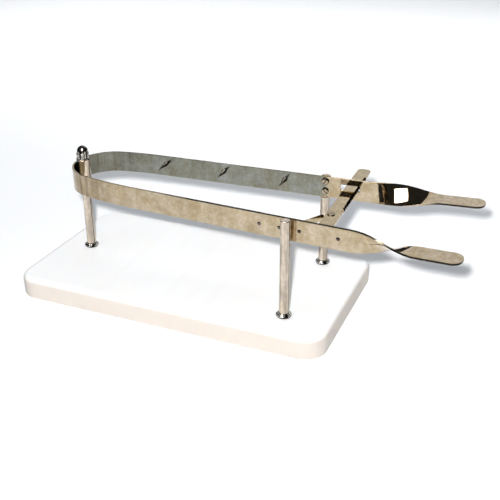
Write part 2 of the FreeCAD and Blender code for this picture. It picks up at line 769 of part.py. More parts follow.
def make_back_arm():
    """Fixed half of the strap, from its handle round the nose to the flexing place."""
    body = back_arm_body("strap_back_arm")
    sweep_strip(body, ("sizes.back_twist_start", "0"), [
        ("places.back_shoulder_x", "0"),
        ("places.back_joint_x", "places.back_joint_y",
         "places.back_shoulder_x", "-sizes.back_shoulder_radius", 1),
        ("places.back_end_x", "places.back_end_y",
         "places.back_nose_x", "places.back_nose_y", 1),
    ], "sizes.strap_thickness", "sizes.strap_height")
    twist_handle(body, "sizes.back_twist_start", "sizes.back_twist_length", -90)

    slot = new_sketch(body, "XZ_Plane")
    add_rounded_rectangle(
        slot,
        "places.slot_left_x", "places.slot_bottom_z", "places.slot_right_x", "places.slot_top_z",
        "sizes.slot_corner_radius",
    )
    holes = [("places.back_post_x", rise, "sizes.screw_diameter / 2 + sizes.screw_fit")
             for rise in ("sizes.back_screw_upper", "sizes.back_screw_lower")]
    holes += [(spike_x(index), "sizes.spike_above_middle",
               "sizes.rivet_diameter / 2 + sizes.rivet_fit") for index in range(SPIKES)]
    for x, z, radius in holes:
        add_circle(slot, x, z, radius)
    cut(body, slot, "sizes.short_cut")

    nose_hole = new_sketch(
        body, "YZ_Plane", x="places.back_nose_y", z="places.back_nose_x",
        rotation="0; places.nose_screw_turn - 180 - sizes.arm_splay; 0")
    add_circle(nose_hole, "0", "0", "sizes.screw_diameter / 2 + sizes.screw_fit")
    cut(body, nose_hole, "sizes.nose_radius * 2", both_ways=False)


def make_front_arm():
    """Springing half of the strap, from the flexing place on the nose to its handle."""
    body = front_arm_body("strap_front_arm")
    sweep_strip(body, ("sizes.front_twist_start", "0"), [
        ("places.front_shoulder_x", "0"),
        ("places.front_joint_x", "places.front_joint_y",
         "places.front_shoulder_x", "sizes.front_shoulder_radius", -1),
        ("places.front_end_x", "places.front_end_y",
         "places.front_nose_x", "places.front_nose_y", -1),
    ], "sizes.strap_thickness", "sizes.strap_height")
    twist_handle(body, "sizes.front_twist_start", "sizes.front_twist_length", 90)
    holes = new_sketch(body, "XZ_Plane")
    for x in rivet_spots().values():
        add_circle(holes, x, "0", "sizes.rivet_diameter / 2 + sizes.rivet_fit")
    cut(body, holes, "sizes.short_cut")


# Spikes on the back arm's inner face, each riveted through the strap.

def spike_x(index):
    return "sizes.spike_first_x + sizes.spike_pitch * %d" % index


def make_spikes():
    for index in range(SPIKES):
        body = back_arm_body(
            "spike_%d" % (index + 1), spike_x(index), "-places.strap_half",
            "places.strap_middle + sizes.spike_above_middle", roll="90",
        )
        back = "-sizes.strap_thickness"
        revolve(body, [
            ("0", "%s - sizes.rivet_outer_height" % back),
            ("sizes.rivet_outer_diameter / 2", "%s - sizes.rivet_outer_height" % back),
            ("sizes.rivet_inner_diameter / 2", back),
            ("sizes.rivet_diameter / 2", back),
            ("sizes.rivet_diameter / 2", "0"),
            ("sizes.spike_diameter / 2", "0"),
            ("sizes.spike_tip_diameter / 2", "sizes.spike_length"),
            ("0", "sizes.spike_length"),
        ])


# Latch on the front arm: leaf spring, bracket, pin and toothed bar.

def rivet_spots():
    """Every rivet of the front arm by name, with its x along the arm."""
    return {
        "leaf_rivet_1": "sizes.leaf_first_rivet_x",
        "leaf_rivet_2": "sizes.leaf_first_rivet_x + sizes.leaf_rivet_spacing",
        "bracket_rivet_1": "sizes.latch_x - sizes.bracket_rivet_spacing / 2",
        "bracket_rivet_2": "sizes.latch_x + sizes.bracket_rivet_spacing / 2",
    }


def make_rivets():
    for name, x in rivet_spots().items():
        grip = "sizes.leaf_thickness" if name.startswith("leaf") else "sizes.bracket_web"
        inner = "sizes.strap_thickness + %s" % grip
        body = front_arm_body(name, x, "-places.strap_half", roll="-90")
        revolve(body, [
            ("0", "-sizes.rivet_outer_height"),
            ("sizes.rivet_diameter / 2", "-sizes.rivet_outer_height"),
            ("sizes.rivet_outer_diameter / 2", "0"),
            ("sizes.rivet_diameter / 2", "0"),
            ("sizes.rivet_diameter / 2", inner),
            ("sizes.rivet_inner_diameter / 2", inner),
            ("sizes.rivet_diameter / 2", "%s + sizes.rivet_inner_height" % inner),
            ("0", "%s + sizes.rivet_inner_height" % inner),
        ])


def make_leaf_spring():
    """Flat strip riveted to the arm, bent inwards so that its tip bears on the bar's edge."""
    body = front_arm_body("latch_spring")
    sweep_strip(body, ("sizes.leaf_start_x", "places.leaf_middle_y"), [
        ("sizes.leaf_bend_x", "places.leaf_middle_y"),
        ("places.leaf_arc_x", "places.leaf_arc_y",
         "sizes.leaf_bend_x", "places.leaf_middle_y + sizes.leaf_bend_radius", 1),
        ("places.leaf_tip_x", "places.leaf_tip_y"),
    ], "sizes.leaf_thickness", "sizes.leaf_height")
    spots = rivet_spots()
    holes = new_sketch(body, "XZ_Plane")
    for name in ("leaf_rivet_1", "leaf_rivet_2"):
        add_circle(holes, spots[name], "0", "sizes.rivet_diameter / 2 + sizes.rivet_fit")
    cut(body, holes, "sizes.short_cut")


def make_bracket():
    """Riveted channel with two ears that hold the latch pin above and below the bar."""
    body = front_arm_body("latch_bracket", "sizes.latch_x", "places.strap_half")
    web = new_sketch(body)
    add_rectangle(
        web, "-sizes.bracket_length / 2", "0", "sizes.bracket_length / 2", "sizes.bracket_web")
    pad(body, web, "places.bracket_height", both_ways=True)

    ear_reach = "places.pivot_reach - places.strap_half"
    ear_half = "sizes.pin_head_diameter / 2 + sizes.ear_rim"
    ears = new_sketch(body)
    add_chain(ears, ("-(%s)" % ear_half, "sizes.bracket_web"), [
        (ear_half, "sizes.bracket_web"),
        (ear_half, ear_reach),
        ("-(%s)" % ear_half, ear_reach, "0", ear_reach, 1),
        ("-(%s)" % ear_half, "sizes.bracket_web"),
    ])
    pad(body, ears, "places.bracket_height", both_ways=True)

    gap = new_sketch(body)
    add_rectangle(
        gap, "-sizes.bracket_length", "sizes.bracket_web",
        "sizes.bracket_length", "%s + sizes.bracket_length" % ear_reach)
    cut(body, gap, "sizes.bar_thickness + 2 * sizes.bar_face_gap")

    pin_hole = new_sketch(body)
    add_circle(pin_hole, "0", ear_reach, "sizes.pin_diameter / 2 + sizes.pin_fit")
    cut(body, pin_hole)

    rivet_holes = new_sketch(body, "XZ_Plane")
    for side in ("-", ""):
        add_circle(
            rivet_holes, "%ssizes.bracket_rivet_spacing / 2" % side, "0",
            "sizes.rivet_diameter / 2 + sizes.rivet_fit")
    cut(body, rivet_holes, "sizes.short_cut")


def latch_body(label):
    """A body in the bar's own frame: origin on the latch pin, y along the bar."""
    return new_body(
        label, "places.pivot_x", "places.pivot_y", "places.strap_middle", "sizes.bar_tilt")


def make_latch_pin():
    body = latch_body("latch_pin")
    grip = "places.bracket_height / 2 + sizes.pin_end_play"
    radius, head = "sizes.pin_diameter / 2", "sizes.pin_head_diameter / 2"
    revolve(body, [
        ("0", "-(%s) - sizes.pin_head_height" % grip),
        (head, "-(%s) - sizes.pin_head_height" % grip),
        (head, "-(%s)" % grip),
        (radius, "-(%s)" % grip),
        (radius, grip),
        (head, grip),
        (head, "%s + sizes.pin_head_height" % grip),
        ("0", "%s + sizes.pin_head_height" % grip),
    ])


def make_latch_bar():
    """Flat bar with a round tail on the pin, hooked teeth along one edge and a thumb tab."""
    body = latch_body("latch_bar")
    half, corner = "places.bar_end_radius", "sizes.bar_tab_radius"
    outline = new_sketch(body)
    add_chain(outline, ("-" + half, "0"), [
        (half, "0", "0", "0", 1),
        (half, "sizes.bar_reach - %s" % corner),
        ("%s - %s" % (half, corner), "sizes.bar_reach",
         "%s - %s" % (half, corner), "sizes.bar_reach - %s" % corner, 1),
        ("-%s + %s" % (half, corner), "sizes.bar_reach"),
        ("-" + half, "sizes.bar_reach - %s" % corner,
         "-%s + %s" % (half, corner), "sizes.bar_reach - %s" % corner, 1),
        ("-" + half, "0"),
    ])
    pad(body, outline, "sizes.bar_thickness", both_ways=True)

    gullet = new_sketch(body)
    flank = "places.tooth_at_slot - sizes.tooth_pitch * %d" % TEETH_BEFORE_SLOT
    add_polygon(gullet, [
        (half, flank),
        ("%s - sizes.tooth_depth" % half, "%s + sizes.tooth_undercut" % flank),
        ("%s - sizes.tooth_depth" % half, flank),
        (half, "%s - sizes.tooth_pitch + sizes.tooth_tip" % flank),
        ("%s + sizes.cut_margin" % half, "%s - sizes.tooth_pitch + sizes.tooth_tip" % flank),
        ("%s + sizes.cut_margin" % half, flank),
    ])
    gullet_cut = cut(body, gullet)
    teeth = body.newObject("PartDesign::LinearPattern", "teeth")
    teeth.Originals = [gullet_cut]
    teeth.Direction = (gullet, ["V_Axis"])
    teeth.Occurrences = TEETH_BEFORE_SLOT + TEETH_AFTER_SLOT + 1
    teeth.setExpression(
        "Length", "sizes.tooth_pitch * %d" % (TEETH_BEFORE_SLOT + TEETH_AFTER_SLOT))
    body.Tip = teeth
    settle(body, grows=False)

    holes = new_sketch(body)
    add_circle(holes, "0", "0", "sizes.pin_diameter / 2 + sizes.pin_fit")
    add_circle(
        holes, "sizes.stop_screw_offset", "sizes.stop_screw_reach",
        "sizes.screw_diameter / 2 + sizes.screw_fit")
    cut(body, holes)


def make_latch_stop():
    """Screw and nut on the bar that stop the arm before the spikes meet it."""
    lean = "sizes.bar_tilt"
    x = "places.pivot_x + sizes.stop_screw_offset * cos(%s) - sizes.stop_screw_reach * sin(%s)"
    y = "places.pivot_y + sizes.stop_screw_offset * sin(%s) + sizes.stop_screw_reach * cos(%s)"
    top = "places.strap_middle + sizes.bar_thickness / 2"
    bottom = "places.strap_middle - sizes.bar_thickness / 2"
    screw = new_body("latch_stop_screw", x % (lean, lean), y % (lean, lean), top)
    make_screw(screw, "sizes.bar_thickness + sizes.stop_nut_height", "sizes.stop_slot_turn")
    nut = new_body("latch_stop_nut", x % (lean, lean), y % (lean, lean), bottom)
    hexagon = new_sketch(nut)
    add_hexagon(hexagon, "sizes.stop_nut_flats")
    add_circle(hexagon, "0", "0", "sizes.screw_diameter / 2 + sizes.screw_fit")
    pad(nut, hexagon, "sizes.stop_nut_height", downwards=True)


def check_and_write():
    """Stops on any failed object or unsound shape, then writes one STEP file for each body."""
    doc.recompute()
    for item in doc.Objects:
        if "Invalid" in item.State or "Error" in item.State:
            raise ValueError("%s failed: %s" % (item.Label, item.State))
    bodies = [item for item in doc.Objects if item.TypeId == "PartDesign::Body"]
    for body in bodies:
        if body.Shape.isNull() or not body.Shape.isValid() or len(body.Shape.Solids) != 1:
            raise ValueError("%s is not one sound solid" % body.Label)
    os.makedirs("parts", exist_ok=True)
    for body in bodies:
        body.Shape.exportStep("parts/%s.step" % body.Label)
        print("%-20s %10.1f mm3" % (body.Label, body.Shape.Volume))
    print("flex joint at %.3f, %.3f" % (number("places.flex_x"), number("places.flex_y")))
    print("latch pivot at %.3f, %.3f" % (number("places.pivot_x"), number("places.pivot_y")))


make_board()
for post_name in POST_SPOTS:
    make_post_bottom(post_name)
make_nose_post()
make_side_post("front")
make_back_post()
make_nose_top()
make_dome_nut()
make_back_arm()
make_back_post_screws()
make_spikes()
make_front_arm()
make_rivets()
make_leaf_spring()
make_bracket()
make_latch_pin()
make_latch_bar()
make_latch_stop()
check_and_write()
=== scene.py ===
"""Ham holder: a sprung steel strap with twisted handles, spikes and a toothed latch bar.

Laid out as an add-on. Run as a script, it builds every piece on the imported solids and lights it.
Lengths are in metres. The origin is the centre of the board's underside, +X runs towards the
handles and +Z is up.
"""

import json
import math

import bmesh
import bpy
import numpy as np
from bpy.props import FloatProperty, FloatVectorProperty, IntProperty, PointerProperty
from bpy.types import Operator, Panel, PropertyGroup
from mathutils import Matrix, Vector

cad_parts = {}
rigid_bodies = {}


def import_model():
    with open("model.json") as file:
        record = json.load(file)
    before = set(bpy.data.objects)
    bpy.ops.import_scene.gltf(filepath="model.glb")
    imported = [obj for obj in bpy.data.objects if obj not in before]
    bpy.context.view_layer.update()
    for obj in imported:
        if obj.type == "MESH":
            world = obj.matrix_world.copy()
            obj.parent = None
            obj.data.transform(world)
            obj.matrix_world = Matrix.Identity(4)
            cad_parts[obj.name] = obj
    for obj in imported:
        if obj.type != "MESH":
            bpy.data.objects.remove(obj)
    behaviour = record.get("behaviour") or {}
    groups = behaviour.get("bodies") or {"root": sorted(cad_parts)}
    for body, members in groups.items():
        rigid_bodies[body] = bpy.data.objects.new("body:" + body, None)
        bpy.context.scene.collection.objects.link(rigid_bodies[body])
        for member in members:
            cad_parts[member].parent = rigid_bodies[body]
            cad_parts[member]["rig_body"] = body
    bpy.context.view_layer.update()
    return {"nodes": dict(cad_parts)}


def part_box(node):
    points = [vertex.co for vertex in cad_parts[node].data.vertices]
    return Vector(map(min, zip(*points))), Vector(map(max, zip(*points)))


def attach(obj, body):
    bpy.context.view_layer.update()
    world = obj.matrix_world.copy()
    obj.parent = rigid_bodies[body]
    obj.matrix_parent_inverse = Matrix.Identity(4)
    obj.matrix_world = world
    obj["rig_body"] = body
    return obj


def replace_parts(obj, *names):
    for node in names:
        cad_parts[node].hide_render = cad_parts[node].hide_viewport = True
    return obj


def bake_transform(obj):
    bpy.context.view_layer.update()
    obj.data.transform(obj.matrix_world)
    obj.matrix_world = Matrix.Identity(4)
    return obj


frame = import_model()

bl_info = {
    "name": "Ham holder",
    "version": (1, 0, 0),
    "blender": (4, 5, 0),
    "location": "View3D > Sidebar > Ham holder",
    "description": "Builds a ham holder piece by piece on its packed solids",
    "category": "Object",
}

PLACES = ("nose", "front", "back")
MERGE = 1e-6
FLAT, BEVELLED, SHARP = (math.radians(turn) for turn in (1, 30, 35))

# how finely the shapes are sampled
EDGE_POINTS = 4
RIM_ROWS = 2 + 2 * (EDGE_POINTS - 2)    # of the strap's section, between its two faces
TWIST_POINTS, PADDLE_POINTS, TIP_POINTS = 61, 14, 17
SLOT_RINGS = (1.0, 0.6, 0.25, 0.0)      # from the strap's own grid to the slot's chamfer
CHAMFER_POINTS, DOME_POINTS, SPIKE_POINTS, LEAF_POINTS, LEAF_ACROSS = 8, 22, 24, 14, 4

# small shapes, in metres
WORN_EDGE, WASHER_EDGE, PIN_EDGE, LEAF_EDGE = 0.0003, 0.0002, 0.0004, 0.0002
GULLET_ROUND, TOOTH_ROUND = 0.0003, 0.0001
NUT_CHAMFER, NUT_PLAIN, NUT_FILLET = 0.0009, 0.0012, 0.0003
NUT_FACE = 0.985         # the nut's face circle, as a share of its flats
LEAF_ROUND_END = 0.0015
COLLAR_HEEL, COLLAR_HEEL_RISE, COLLAR_HOLLOW, COLLAR_NECK = 0.0008, 0.0014, 0.0005, 0.0006
SPIKE_ROOT = 0.86        # a spike's cone where it starts, as a share of its foot
SPIKE_FOOT = 0.0016      # and how high that is
SPIKE_HOLLOW = 1.15      # over 1 the cone's side is hollow
SCREW_RIM = 0.6          # a screw head's upright rim, as a share of its height
SLOT_CLEAR = 1.3         # the first slice beside a driver slot, in half slots from its middle
SCREW_SIDE = 0.00001     # the last slice's place inside the head's edge
SENSOR_WIDTH = 36        # of the camera, in millimetres


def length(name, description, default):
    return FloatProperty(
        name=name, description=description, default=default, unit="LENGTH", precision=5)


def angle(name, description, degrees):
    return FloatProperty(
        name=name, description=description, default=math.radians(degrees), unit="ROTATION")


def count(name, description, default):
    return IntProperty(name=name, description=description, default=default, min=1)


def power(name, description, default):
    return FloatProperty(name=name, description=description, default=default, min=0.0)


# ---------------------------------------------------------------- settings

class StrapSettings(PropertyGroup):
    """Plan, section and handles of the spring strap; the same values as in the solids."""

    thickness: length("Thickness", "Stock thickness", 0.0025)
    height: length("Height", "Stock height, on edge", 0.030)
    edge: length("Edge radius", "Rounding of the stock's edges", 0.0004)
    splay: angle("Splay", "Angle of each arm to the middle", 3)
    back_offset: length("Back offset", "Back arm's line at x = 0", 0.06955)
    front_offset: length("Front offset", "Front arm's line at x = 0", 0.0605)
    nose_x: length("Nose X", "Centre of the nose", -0.1365)
    nose_y: length("Nose Y", "Centre of the nose", 0.0063)
    nose_radius: length("Nose radius", "Radius of the nose's middle line", 0.0523)
    back_shoulder: length("Back shoulder", "Radius between nose and back arm", 0.300)
    front_shoulder: length("Front shoulder", "Radius between nose and front arm", 0.450)
    back_twist_start: length("Back twist start", "Where the back arm starts to turn", 0.222)
    back_twist_length: length("Back twist length", "Length of the back arm's turn", 0.101)
    front_twist_start: length("Front twist start", "Where the front arm starts to turn", 0.236)
    front_twist_length: length("Front twist length", "Length of the front arm's turn", 0.088)
    tip_x: length("Tip X", "End of both handles", 0.375)
    tip_radius: length("Tip radius", "Corner radius of the handles' tips", 0.012)
    rise: angle("Rise", "Upward slope of the handles", 1.5)
    across: count("Across", "Cells across the strap's face", 12)
    step: length("Step", "Cell length on the straight stretches", 0.003)


class SlotSettings(PropertyGroup):
    """Slot in the back arm that the latch bar runs through."""

    left: length("Left", "Left end, along the back arm", 0.18221)
    right: length("Right", "Right end, along the back arm", 0.20991)
    low: length("Low", "Lower edge, from the strap's middle", -0.0019)
    high: length("High", "Upper edge, from the strap's middle", 0.0063)
    corner: length("Corner", "Corner radius", 0.002)
    margin: length("Margin", "Strap round the slot that is meshed with it", 0.004)
    chamfer: length("Chamfer", "Broken edge round the slot", 0.0002)


class TurnedSettings(PropertyGroup):
    """Round pieces: posts, collars, sleeve, nut, spikes and rivets."""

    segments: count("Segments", "Cells round a turned piece", 96)
    post: length("Post diameter", "Bar that the posts are cut from", 0.013)
    post_edge: length("Post edge", "Rounding of a post's top", 0.0009)
    bore_gap: length("Bore gap", "Fit of collars and sleeve on the posts", 0.00005)
    collar_neck: length("Collar neck", "Diameter of a collar's top", 0.0155)
    collar_rim: length("Collar rim", "Height of a collar's upright rim", 0.0032)
    sleeve_edge: length("Sleeve edge", "Rounding of the sleeve's ends", 0.0007)
    stud: length("Stud", "Diameter of the nose post's upper end", 0.010)
    nut_flats: length("Nut flats", "Dome nut across its flats", 0.017)
    nut_hex: length("Nut hexagon", "Height of the dome nut's hexagon", 0.008)
    dome: length("Dome", "Diameter of the nut's dome", 0.016)
    spike: length("Spike", "Diameter of a spike's foot", 0.007)
    spike_tip: length("Spike tip", "Diameter of a spike's point", 0.0008)
    spike_length: length("Spike length", "From the strap to the point", 0.025)
    spike_first: length("First spike", "Along the back arm", -0.079)
    spike_pitch: length("Spike pitch", "Between two spikes", 0.091)
    spike_lift: length("Spike lift", "Above the strap's middle", 0.003)
    rivet: length("Rivet", "Diameter of a rivet's shank", 0.0036)
    rivet_outer: length("Outer rivet head", "Diameter of the flat head outside", 0.005)
    rivet_outer_height: length("Outer head height", "Height of the flat head", 0.0005)
    rivet_inner: length("Inner rivet head", "Diameter of the head inside", 0.006)
    rivet_inner_height: length("Inner head height", "Height of the head inside", 0.0012)


class ScrewSettings(PropertyGroup):
    """Slotted pan-head screws."""

    head: length("Head", "Diameter of the head", 0.010)
    head_height: length("Head height", "Height of the head", 0.0022)
    stop_height: length("Stop height", "Height of the stop screw's worn-down head", 0.0014)
    slot_width: length("Slot width", "Width of the driver slot", 0.0012)
    slot_depth: length("Slot depth", "Depth of the driver slot", 0.001)
    upper: length("Upper screw", "Height above the strap's middle", 0.0083)
    lower: length("Lower screw", "Height above the strap's middle", -0.006)
    post_x: length("Screws along the arm", "Place of the back post's screws", 0.1613)
    upper_turn: angle("Upper slot", "Turn of the upper screw's slot", 60)
    lower_turn: angle("Lower slot", "Turn of the lower screw's slot", -45)
    nose_turn: angle("Nose slot", "Turn of the nose screw's slot", 90)
    stop_turn: angle("Stop slot", "Turn of the stop screw's slot", 40)
    rows: count("Rows", "Cells across a screw head", 20)


class LatchSettings(PropertyGroup):
    """Latch bar, its pin and the leaf spring."""

    pivot_x: length("Pivot X", "Latch pin", 0.201457)
    pivot_y: length("Pivot Y", "Latch pin", -0.057039)
    tilt: angle("Tilt", "Turn of the bar from +Y", 1.7)
    width: length("Width", "Width of the bar", 0.0189)
    thickness: length("Thickness", "Thickness of the bar", 0.003)
    reach: length("Reach", "From the pin to the bar's end", 0.215)
    corner: length("Corner", "Corner radius of the bar's end", 0.007)
    first_tooth: length("First tooth", "From the pin to the first tooth's flank", 0.06186)
    pitch: length("Pitch", "Between two teeth", 0.0086)
    depth: length("Depth", "Depth of a gullet", 0.003)
    undercut: length("Undercut", "How far a tooth hooks back", 0.0008)
    land: length("Land", "Flat end of a tooth", 0.0012)
    teeth: count("Teeth", "Number of gullets", 15)
    edge: length("Edge", "Rounding of the bar's edges", 0.0002)
    stop_reach: length("Stop reach", "From the pin to the stop screw", 0.046)
    stop_offset: length("Stop offset", "Stop screw from the bar's middle line", -0.0028)
    pin: length("Pin", "Diameter of the latch pin", 0.005)
    pin_head: length("Pin head", "Diameter of the pin's heads", 0.008)
    pin_head_height: length("Pin head height", "Height of the pin's heads", 0.0014)
    leaf_thickness: length("Leaf thickness", "Thickness of the leaf spring", 0.001)
    leaf_height: length("Leaf height", "Width of the leaf spring", 0.009)
    leaf_start: length("Leaf start", "Along the front arm", 0.113)
    leaf_bend: length("Leaf bend", "Where the leaf leaves the arm", 0.153)
    leaf_bend_radius: length("Leaf bend radius", "Radius of that bend", 0.016)
    leaf_turn: angle("Leaf turn", "Angle of that bend", 63.276)
    leaf_free: length("Leaf free length", "Straight end of the leaf", 0.04532)


class StageSettings(PropertyGroup):
    """Camera, floor and lights."""

    lens: FloatProperty(
        name="Lens", description="Focal length", default=58.27, unit="CAMERA")
    camera: FloatVectorProperty(
        name="Camera", description="Place of the camera", default=(0.46537, -0.91371, 0.57422),
        subtype="TRANSLATION")
    azimuth: angle("Azimuth", "Turn of the view to the right", 22.82)
    elevation: angle("Elevation", "Height of the view above the floor", 26.91)
    roll: angle("Roll", "Tilt of the camera about its own line", -0.22)
    floor_size: length("Floor size", "Half the floor's side", 6.0)
    floor_front: length("Floor front", "How far in front the metal still mirrors the floor", 0.5)
    floor_drop: length("Floor drop", "Gap between board and floor", 0.0003)
    flash_left: length("Flash left", "Front lamp's place left of the camera", 0.038)
    flash_up: length("Flash up", "Front lamp's place above the camera", 0.052)
    flash_size: length("Flash size", "Radius of the front lamp", 0.022)
    flash: power("Flash power", "Front lamp, the same at every distance", 62.0)
    room: power("Room", "What the metal mirrors where no lamp stands", 0.03)
    overhead: power("Overhead", "Strength of the light from above", 0.6)
    backdrop: power("Backdrop", "Lamp over the floor behind", 23.0)


class HamHolderSettings(PropertyGroup):
    """All settings of the ham holder."""

    strap: PointerProperty(type=StrapSettings, name="Strap", description="Spring strap")
    slot: PointerProperty(type=SlotSettings, name="Slot", description="Slot for the latch bar")
    turned: PointerProperty(type=TurnedSettings, name="Turned", description="Round pieces")
    screw: PointerProperty(type=ScrewSettings, name="Screws", description="Slotted screws")
    latch: PointerProperty(type=LatchSettings, name="Latch", description="Latch bar and leaf")
    stage: PointerProperty(type=StageSettings, name="Stage", description="Camera and light")


# ---------------------------------------------------------------- surfaces

def placed(points, place):
    """The points moved by a 4 x 4 matrix."""
    matrix = np.array(place)
    return points @ matrix[:3, :3].T + matrix[:3, 3]


def columns(*values):
    """The values spread over one common shape and stacked as coordinates."""
    return np.stack(np.broadcast_arrays(*values), axis=-1)


def quarter(points):
    """Angles that share out a quarter turn."""
    return np.linspace(0, np.pi / 2, points)


def unit(angle):
    """Unit vectors at one angle or at many."""
    return columns(np.cos(angle), np.sin(angle))


def rounded_path(corners, closed=False, steps=5):
    """Line through (x, y, radius) corners, each radius as an arc tangent to both of its sides."""
    path = []
    for index, (x, y, radius) in enumerate(corners):
        here = np.array((x, y))
        at_end = not closed and index in (0, len(corners) - 1)
        if radius == 0 or at_end:
            path.append(here)
            continue
        before = np.array(corners[index - 1][:2]) - here
        after = np.array(corners[(index + 1) % len(corners)][:2]) - here
        before /= np.linalg.norm(before)
        after /= np.linalg.norm(after)
        half = math.acos(np.clip(before @ after, -1, 1)) / 2
        middle = (before + after) / np.linalg.norm(before + after)
        centre = here + middle * radius / math.sin(half)
        arm = here + before * radius / math.tan(half) - centre
        end = here + after * radius / math.tan(half) - centre
        turn = math.atan2(arm[0] * end[1] - arm[1] * end[0], arm @ end)
        start = math.atan2(arm[1], arm[0])
        path += list(centre + radius * unit(np.linspace(start, start + turn, steps + 1)))
    return np.array(path)


def run_lengths(path):
    """Distance along a path at each of its points."""
    steps = np.linalg.norm(np.diff(path, axis=0), axis=1)
    return np.concatenate(([0.0], np.cumsum(steps)))


def lathe(profile, place, segments):
    """P(a, k) = (r(k) cos a, r(k) sin a, z(k)): a profile of (r, z) points turned once round Z."""
    turn = np.linspace(0, 2 * np.pi, segments + 1)[:, None]
    r, z = profile.T
    uv = columns(turn * r.max(), run_lengths(profile))
    return placed(columns(r * np.cos(turn), r * np.sin(turn), z), place), uv


def prism(outline, low, high, edge, place):
    """P(t, k) = outline(t) moved inwards by inset(k), at height z(k): an upright block over a
    closed outline, its two rims rounded by a quarter circle. The ends are closed by flat faces."""
    ring = np.vstack((outline, outline[:1]))
    side = np.diff(ring, axis=0)
    side = columns(side[:, 1], -side[:, 0])
    side /= np.linalg.norm(side, axis=1)[:, None]
    before = np.roll(side, 1, axis=0)
    outward = (side + before) / (1 + np.sum(side * before, axis=1))[:, None]
    bend = quarter(EDGE_POINTS)
    inset = edge * np.concatenate((1 - np.sin(bend), 1 - np.sin(bend[::-1])))
    rise = edge * (1 - np.cos(bend))
    height = np.concatenate((low + rise, high - rise[::-1]))
    flat = outline[:, None] - outward[:, None] * inset[:, None]
    points = columns(flat[..., 0], flat[..., 1], height)
    points = np.concatenate((points, points[:1]))
    return placed(points, place), columns(run_lengths(ring)[:, None], height)


def section(across):
    """Rounded rectangle in unit form, clockwise from the inner face's foot. Each row is
    (thickness sign, height sign, corner direction out, corner direction up)."""
    bend, span = quarter(EDGE_POINTS)[1:-1], np.linspace(-1, 1, across + 1)
    rows = []
    for side in (-1, 1):
        rows += [(side, -side * h, side, 0) for h in span]
        rows += [(side, -side, side * math.cos(b), -side * math.sin(b)) for b in bend]
        rows += [(side * t, -side, 0, -side) for t in (1, -1)]
        rows += [(-side, -side, -side * math.sin(b), -side * math.cos(b)) for b in bend]
    return np.array(rows + rows[:1], float)


def strip(path, outward, height, half_thick, half_high, turn, edge, across):
    """P(s, v) = path(s) + o(v) out(s) + h(v) up(s): a rounded rectangle carried along a flat path,
    where out and up are turned about the path by turn(s)."""
    rows = section(across)
    radius = np.minimum(edge, half_thick)[:, None]
    o = rows[:, 0] * (half_thick[:, None] - radius) + rows[:, 2] * radius
    h = rows[:, 1] * (half_high[:, None] - radius) + rows[:, 3] * radius
    c, s = np.cos(turn)[:, None], np.sin(turn)[:, None]
    out, up = o * c + h * s, h * c - o * s
    flat = path[:, None] + out[..., None] * outward[:, None]
    points = columns(flat[..., 0], flat[..., 1], height[:, None] + up)
    middle = len(path) // 2
    around = run_lengths(columns(o[middle], h[middle]))
    return points, columns(run_lengths(path)[:, None], around)


def build(name, parts, finish):
    """One closed mesh from grids of (points, uv) or (points, uv, kept cells), seams merged."""
    vertices, quads, flats = [], [], []
    offset = 0
    for part in parts:
        points, uv = part[:2]
        n, m = points.shape[:2]
        index = offset + np.arange(n * m).reshape(n, m)
        cells = np.stack((index[:-1, :-1], index[1:, :-1], index[1:, 1:], index[:-1, 1:]), -1)
        keep = part[2] if len(part) > 2 else np.ones((n - 1, m - 1), bool)
        vertices.append(points.reshape(-1, 3))
        flats.append(uv.reshape(-1, 2))
        quads.append(cells[keep])
        offset += n * m
    quads = np.vstack(quads)
    mesh = bpy.data.meshes.new(name)
    mesh.from_pydata(np.vstack(vertices).tolist(), [], quads.tolist())
    layer = mesh.uv_layers.new(name="run")
    layer.data.foreach_set("uv", np.vstack(flats)[quads.ravel()].ravel().astype(np.float32))
    close_and_shade(mesh)
    piece = dressed(name, mesh, finish)
    piece.modifiers.new("flat faces stay flat", "WEIGHTED_NORMAL").keep_sharp = True
    return piece


def close_and_shade(mesh):
    """Merges seams and poles, closes flat ends, turns faces outwards and marks sharp edges."""
    work = bmesh.new()
    work.from_mesh(mesh)
    bmesh.ops.remove_doubles(work, verts=work.verts, dist=MERGE)
    bmesh.ops.dissolve_degenerate(work, edges=work.edges, dist=MERGE)
    rims = [edge for edge in work.edges if edge.is_boundary]
    if rims:
        bmesh.ops.holes_fill(work, edges=rims, sides=0)
    if any(edge.is_boundary for edge in work.edges):
        raise RuntimeError("%s is not closed" % mesh.name)
    bmesh.ops.recalc_face_normals(work, faces=work.faces)
    for face in work.faces:
        face.smooth = True
    for edge in work.edges:
        edge.smooth = edge.calc_face_angle(0) < SHARP
    work.to_mesh(mesh)
    work.free()


def dressed(name, mesh, finish):
    """Object of a mesh in the scene, with its material."""
    mesh.materials.clear()
    mesh.materials.append(finish)
    return in_scene(name, mesh)


def in_scene(name, data):
    piece = bpy.data.objects.new(name, data)
    bpy.context.scene.collection.objects.link(piece)
    return piece


def in_place_of(node, piece):
    """The piece rides on the node's body and is shown in the node's place."""
    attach(piece, frame["nodes"][node]["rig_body"])
    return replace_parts(piece, node)


def show(node, finish, slot_name, *parts):
    """Builds a node's piece from grids."""
    return in_place_of(node, build(node.replace("_", "-"), parts, finish))


